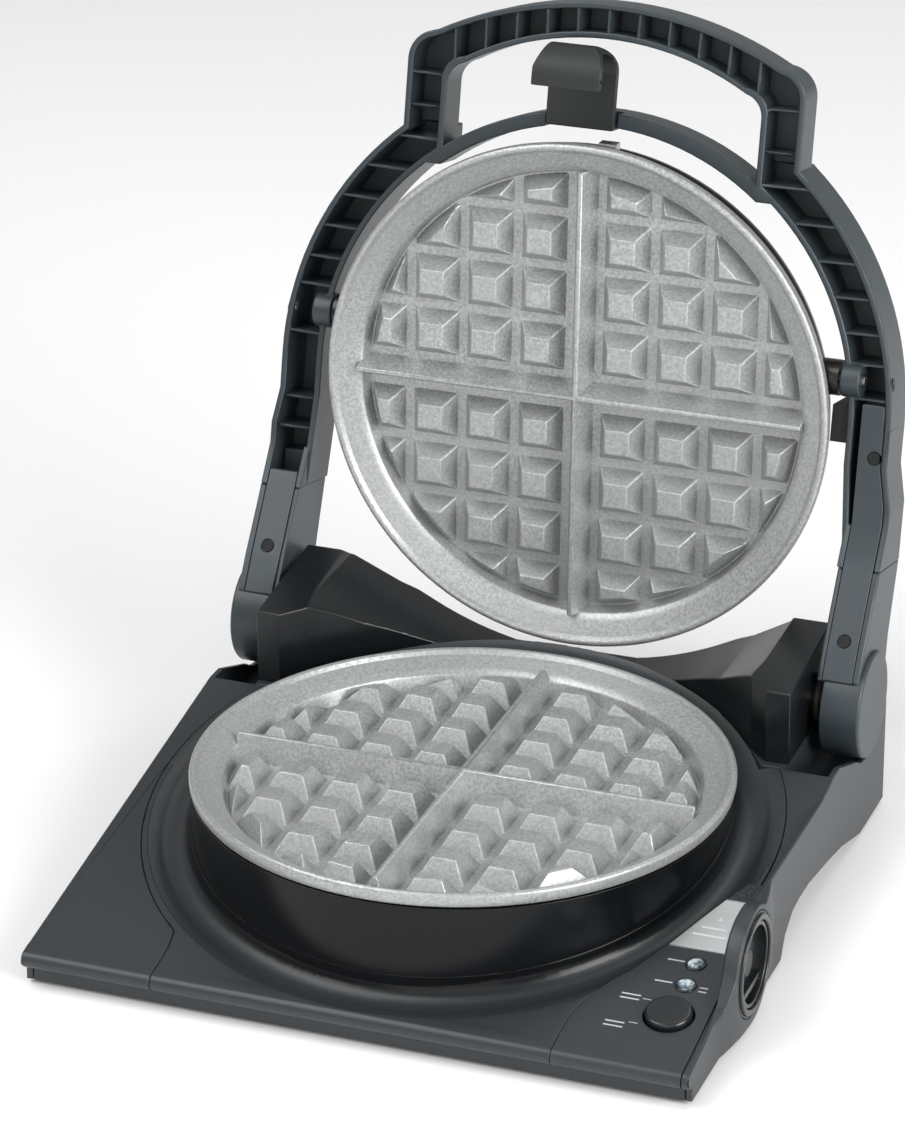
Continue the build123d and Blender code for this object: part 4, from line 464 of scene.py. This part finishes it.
ring_mesh = bpy.data.meshes.new("lens_ring")
around = 48
across = 8
BEAD = 0.16
ring_mesh.from_pydata(
    [((1 + BEAD * math.cos(b)) * math.cos(a), (1 + BEAD * math.cos(b)) * math.sin(a), BEAD * math.sin(b))
     for a in (2 * math.pi * i / around for i in range(around))
     for b in (2 * math.pi * j / across for j in range(across))], [],
    [(i * across + j, ((i + 1) % around) * across + j, ((i + 1) % around) * across + (j + 1) % across,
      i * across + (j + 1) % across) for i in range(around) for j in range(across)])
for face in ring_mesh.polygons:
    face.use_smooth = True
RING_LIFT = 0.05
RING_R = 0.0034
rings = [(on_deck(x, y, RING_LIFT), DECK_TILT, (RING_R, RING_R, RING_R))
         for x, y in ((108.6, -59.1), (108.8, -71.1))]
stamps("lamp_rings", ring_mesh, rings, "base", control_plastic)

# Steel fittings and black screws. The fittings are turned or drawn and left bright; the screws of the
# arm covers sit deep in the shade, and that shade is painted into theirs as the darkest colour.


TURNINGS_PER_METRE = 700.0


def bright_steel():
    material, tree = fresh("turned_steel")
    place = node(tree, "ShaderNodeTexCoord").outputs["Object"]
    turn = node(tree, "ShaderNodeTexNoise", {"Vector": place, "Scale": TURNINGS_PER_METRE})
    rough = node(tree, "ShaderNodeMapRange", {"Value": turn.outputs["Fac"], "To Min": 0.22,
                                              "To Max": 0.36})
    shader = node(tree, "ShaderNodeBsdfPrincipled", {
        "Base Color": hex_rgb("#b5b6b3"), "Metallic": 1.0, "Roughness": rough.outputs["Result"]})
    node(tree, "ShaderNodeOutputMaterial", {"Surface": shader.outputs["BSDF"]})
    return material


steel = bright_steel()
for part_name in ("lower_heat_shield", "upper_heat_shield", "plate_spacers", "lid_spacers",
                  "hinge_pins", "trunnion_pins", "latch_pin", "lower_heating_element",
                  "upper_heating_element", "lid_clip"):
    dress(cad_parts[part_name], steel)
blackened = moulded_plastic("blackened_screw_steel", "#0b0c0e", "#121416", 0.36, 0.3)
for part_name in ("pan_screws", "lower_plate_screws", "lid_screws", "dial_screw"):
    dress(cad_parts[part_name], blackened)
# Near black painted shade on the arm cover screws, sunk in their holes.
arm_screw_painted_shade = moulded_plastic("screw_recess_painted_shade", "#030304", "#050506", 0.75, 0.3)
dress(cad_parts["arm_cover_screws"], arm_screw_painted_shade)

# Rubber and inner mouldings. Soft black rubber outside, brown phenolic inside where it gets hot, and a
# lacquered green board.
rubber = moulded_plastic("black_rubber", "#1b1c1d", "#222324", 0.7, 0.7)
for part_name in ("feet", "cord_gland", "lid_lead", "lead_boot"):
    dress(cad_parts[part_name], rubber)
inner = moulded_plastic("phenolic_inner_moulding", "#3a3734", "#46423e", 0.5, 0.5)
for part_name in ("rocker_carrier", "terminal_block", "beeper", "thermostat", "hinge_bushes",
                  "dial_contact_disc"):
    dress(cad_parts[part_name], inner)
board = moulded_plastic("green_circuit_board", "#1f5a33", "#256b3d", 0.35, 0.9)
dress(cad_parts["circuit_board"], board)

# Table and light. A plain pale table; large soft lamps above on the left, lower and nearer on the
# right, weak in front and weak behind.
TABLE = 4
floor_mesh = bpy.data.meshes.new("table")
floor_mesh.from_pydata([(-TABLE, -TABLE, 0), (TABLE, -TABLE, 0), (TABLE, TABLE, 0), (-TABLE, TABLE, 0)],
                       [], [(0, 1, 2, 3)])
floor = bpy.data.objects.new("table", floor_mesh)
bpy.context.scene.collection.objects.link(floor)
pale, pale_tree = fresh("pale_table")
table_shader = node(pale_tree, "ShaderNodeBsdfPrincipled", {
    "Base Color": hex_rgb("#f4f4f4"), "Roughness": 0.8, "Specular IOR Level": 0.1})
node(pale_tree, "ShaderNodeOutputMaterial", {"Surface": table_shader.outputs["BSDF"]})
floor_mesh.materials.append(pale)

world = bpy.data.worlds.new("studio")
bpy.context.scene.world = world
world.use_nodes = True
sky = world.node_tree
sky.nodes.clear()
path = node(sky, "ShaderNodeLightPath")
seen = node(sky, "ShaderNodeMath", {0: path.outputs["Is Camera Ray"],
                                    1: path.outputs["Is Transmission Ray"]}, operation="MAXIMUM")
ambient = node(sky, "ShaderNodeBackground", {"Color": (1, 1, 1, 1), "Strength": 0.38})
backdrop = node(sky, "ShaderNodeBackground", {"Color": (1, 1, 1, 1), "Strength": 1.0})
mixed = node(sky, "ShaderNodeMixShader", {0: seen.outputs[0], 1: ambient.outputs[0],
                                          2: backdrop.outputs[0]})
node(sky, "ShaderNodeOutputWorld", {"Surface": mixed.outputs[0]})

aim = Vector((0, 0, 0.1))
for lamp_name, spot, size, power in (
        ("key", (-0.9, -0.7, 1.7), 1.4, 24.0), ("fill", (1.7, -0.7, 0.9), 1.2, 42.0),
        ("front", (0.35, -1.9, 0.9), 1.5, 8.0), ("top", (0.2, 0.9, 1.6), 1.0, 5.0)):
    lamp = bpy.data.lights.new(lamp_name, "AREA")
    lamp.size = size
    lamp.energy = power
    holder = bpy.data.objects.new(lamp_name, lamp)
    holder.location = spot
    holder.rotation_euler = (aim - Vector(spot)).to_track_quat("-Z", "Y").to_euler()
    bpy.context.scene.collection.objects.link(holder)

# Camera at the photograph's angle: 20.58 degrees round to the right, 24.52 up, with a long lens.
azimuth = math.radians(20.58)
elevation = math.radians(24.52)
roll = math.radians(-0.29)
back = Vector((math.sin(azimuth) * math.cos(elevation), -math.cos(azimuth) * math.cos(elevation),
               math.sin(elevation)))
right = (-back).cross(Vector((0, 0, 1))).normalized()
up = right.cross(-back)
camera_right = math.cos(roll) * right + math.sin(roll) * up
camera_up = -math.sin(roll) * right + math.cos(roll) * up
camera_data = bpy.data.cameras.new("camera")
camera_data.sensor_fit = "VERTICAL"
camera_data.sensor_height = 36.0
camera_data.lens = 146.16
camera = bpy.data.objects.new("camera", camera_data)
camera_turn = Matrix((camera_right, camera_up, back)).transposed().to_4x4()
camera_place = (0.5249, -1.4373, 0.8192)
camera.matrix_world = Matrix.Translation(camera_place) @ camera_turn
bpy.context.scene.collection.objects.link(camera)
bpy.context.scene.camera = camera
bpy.context.scene.view_settings.view_transform = "Standard"
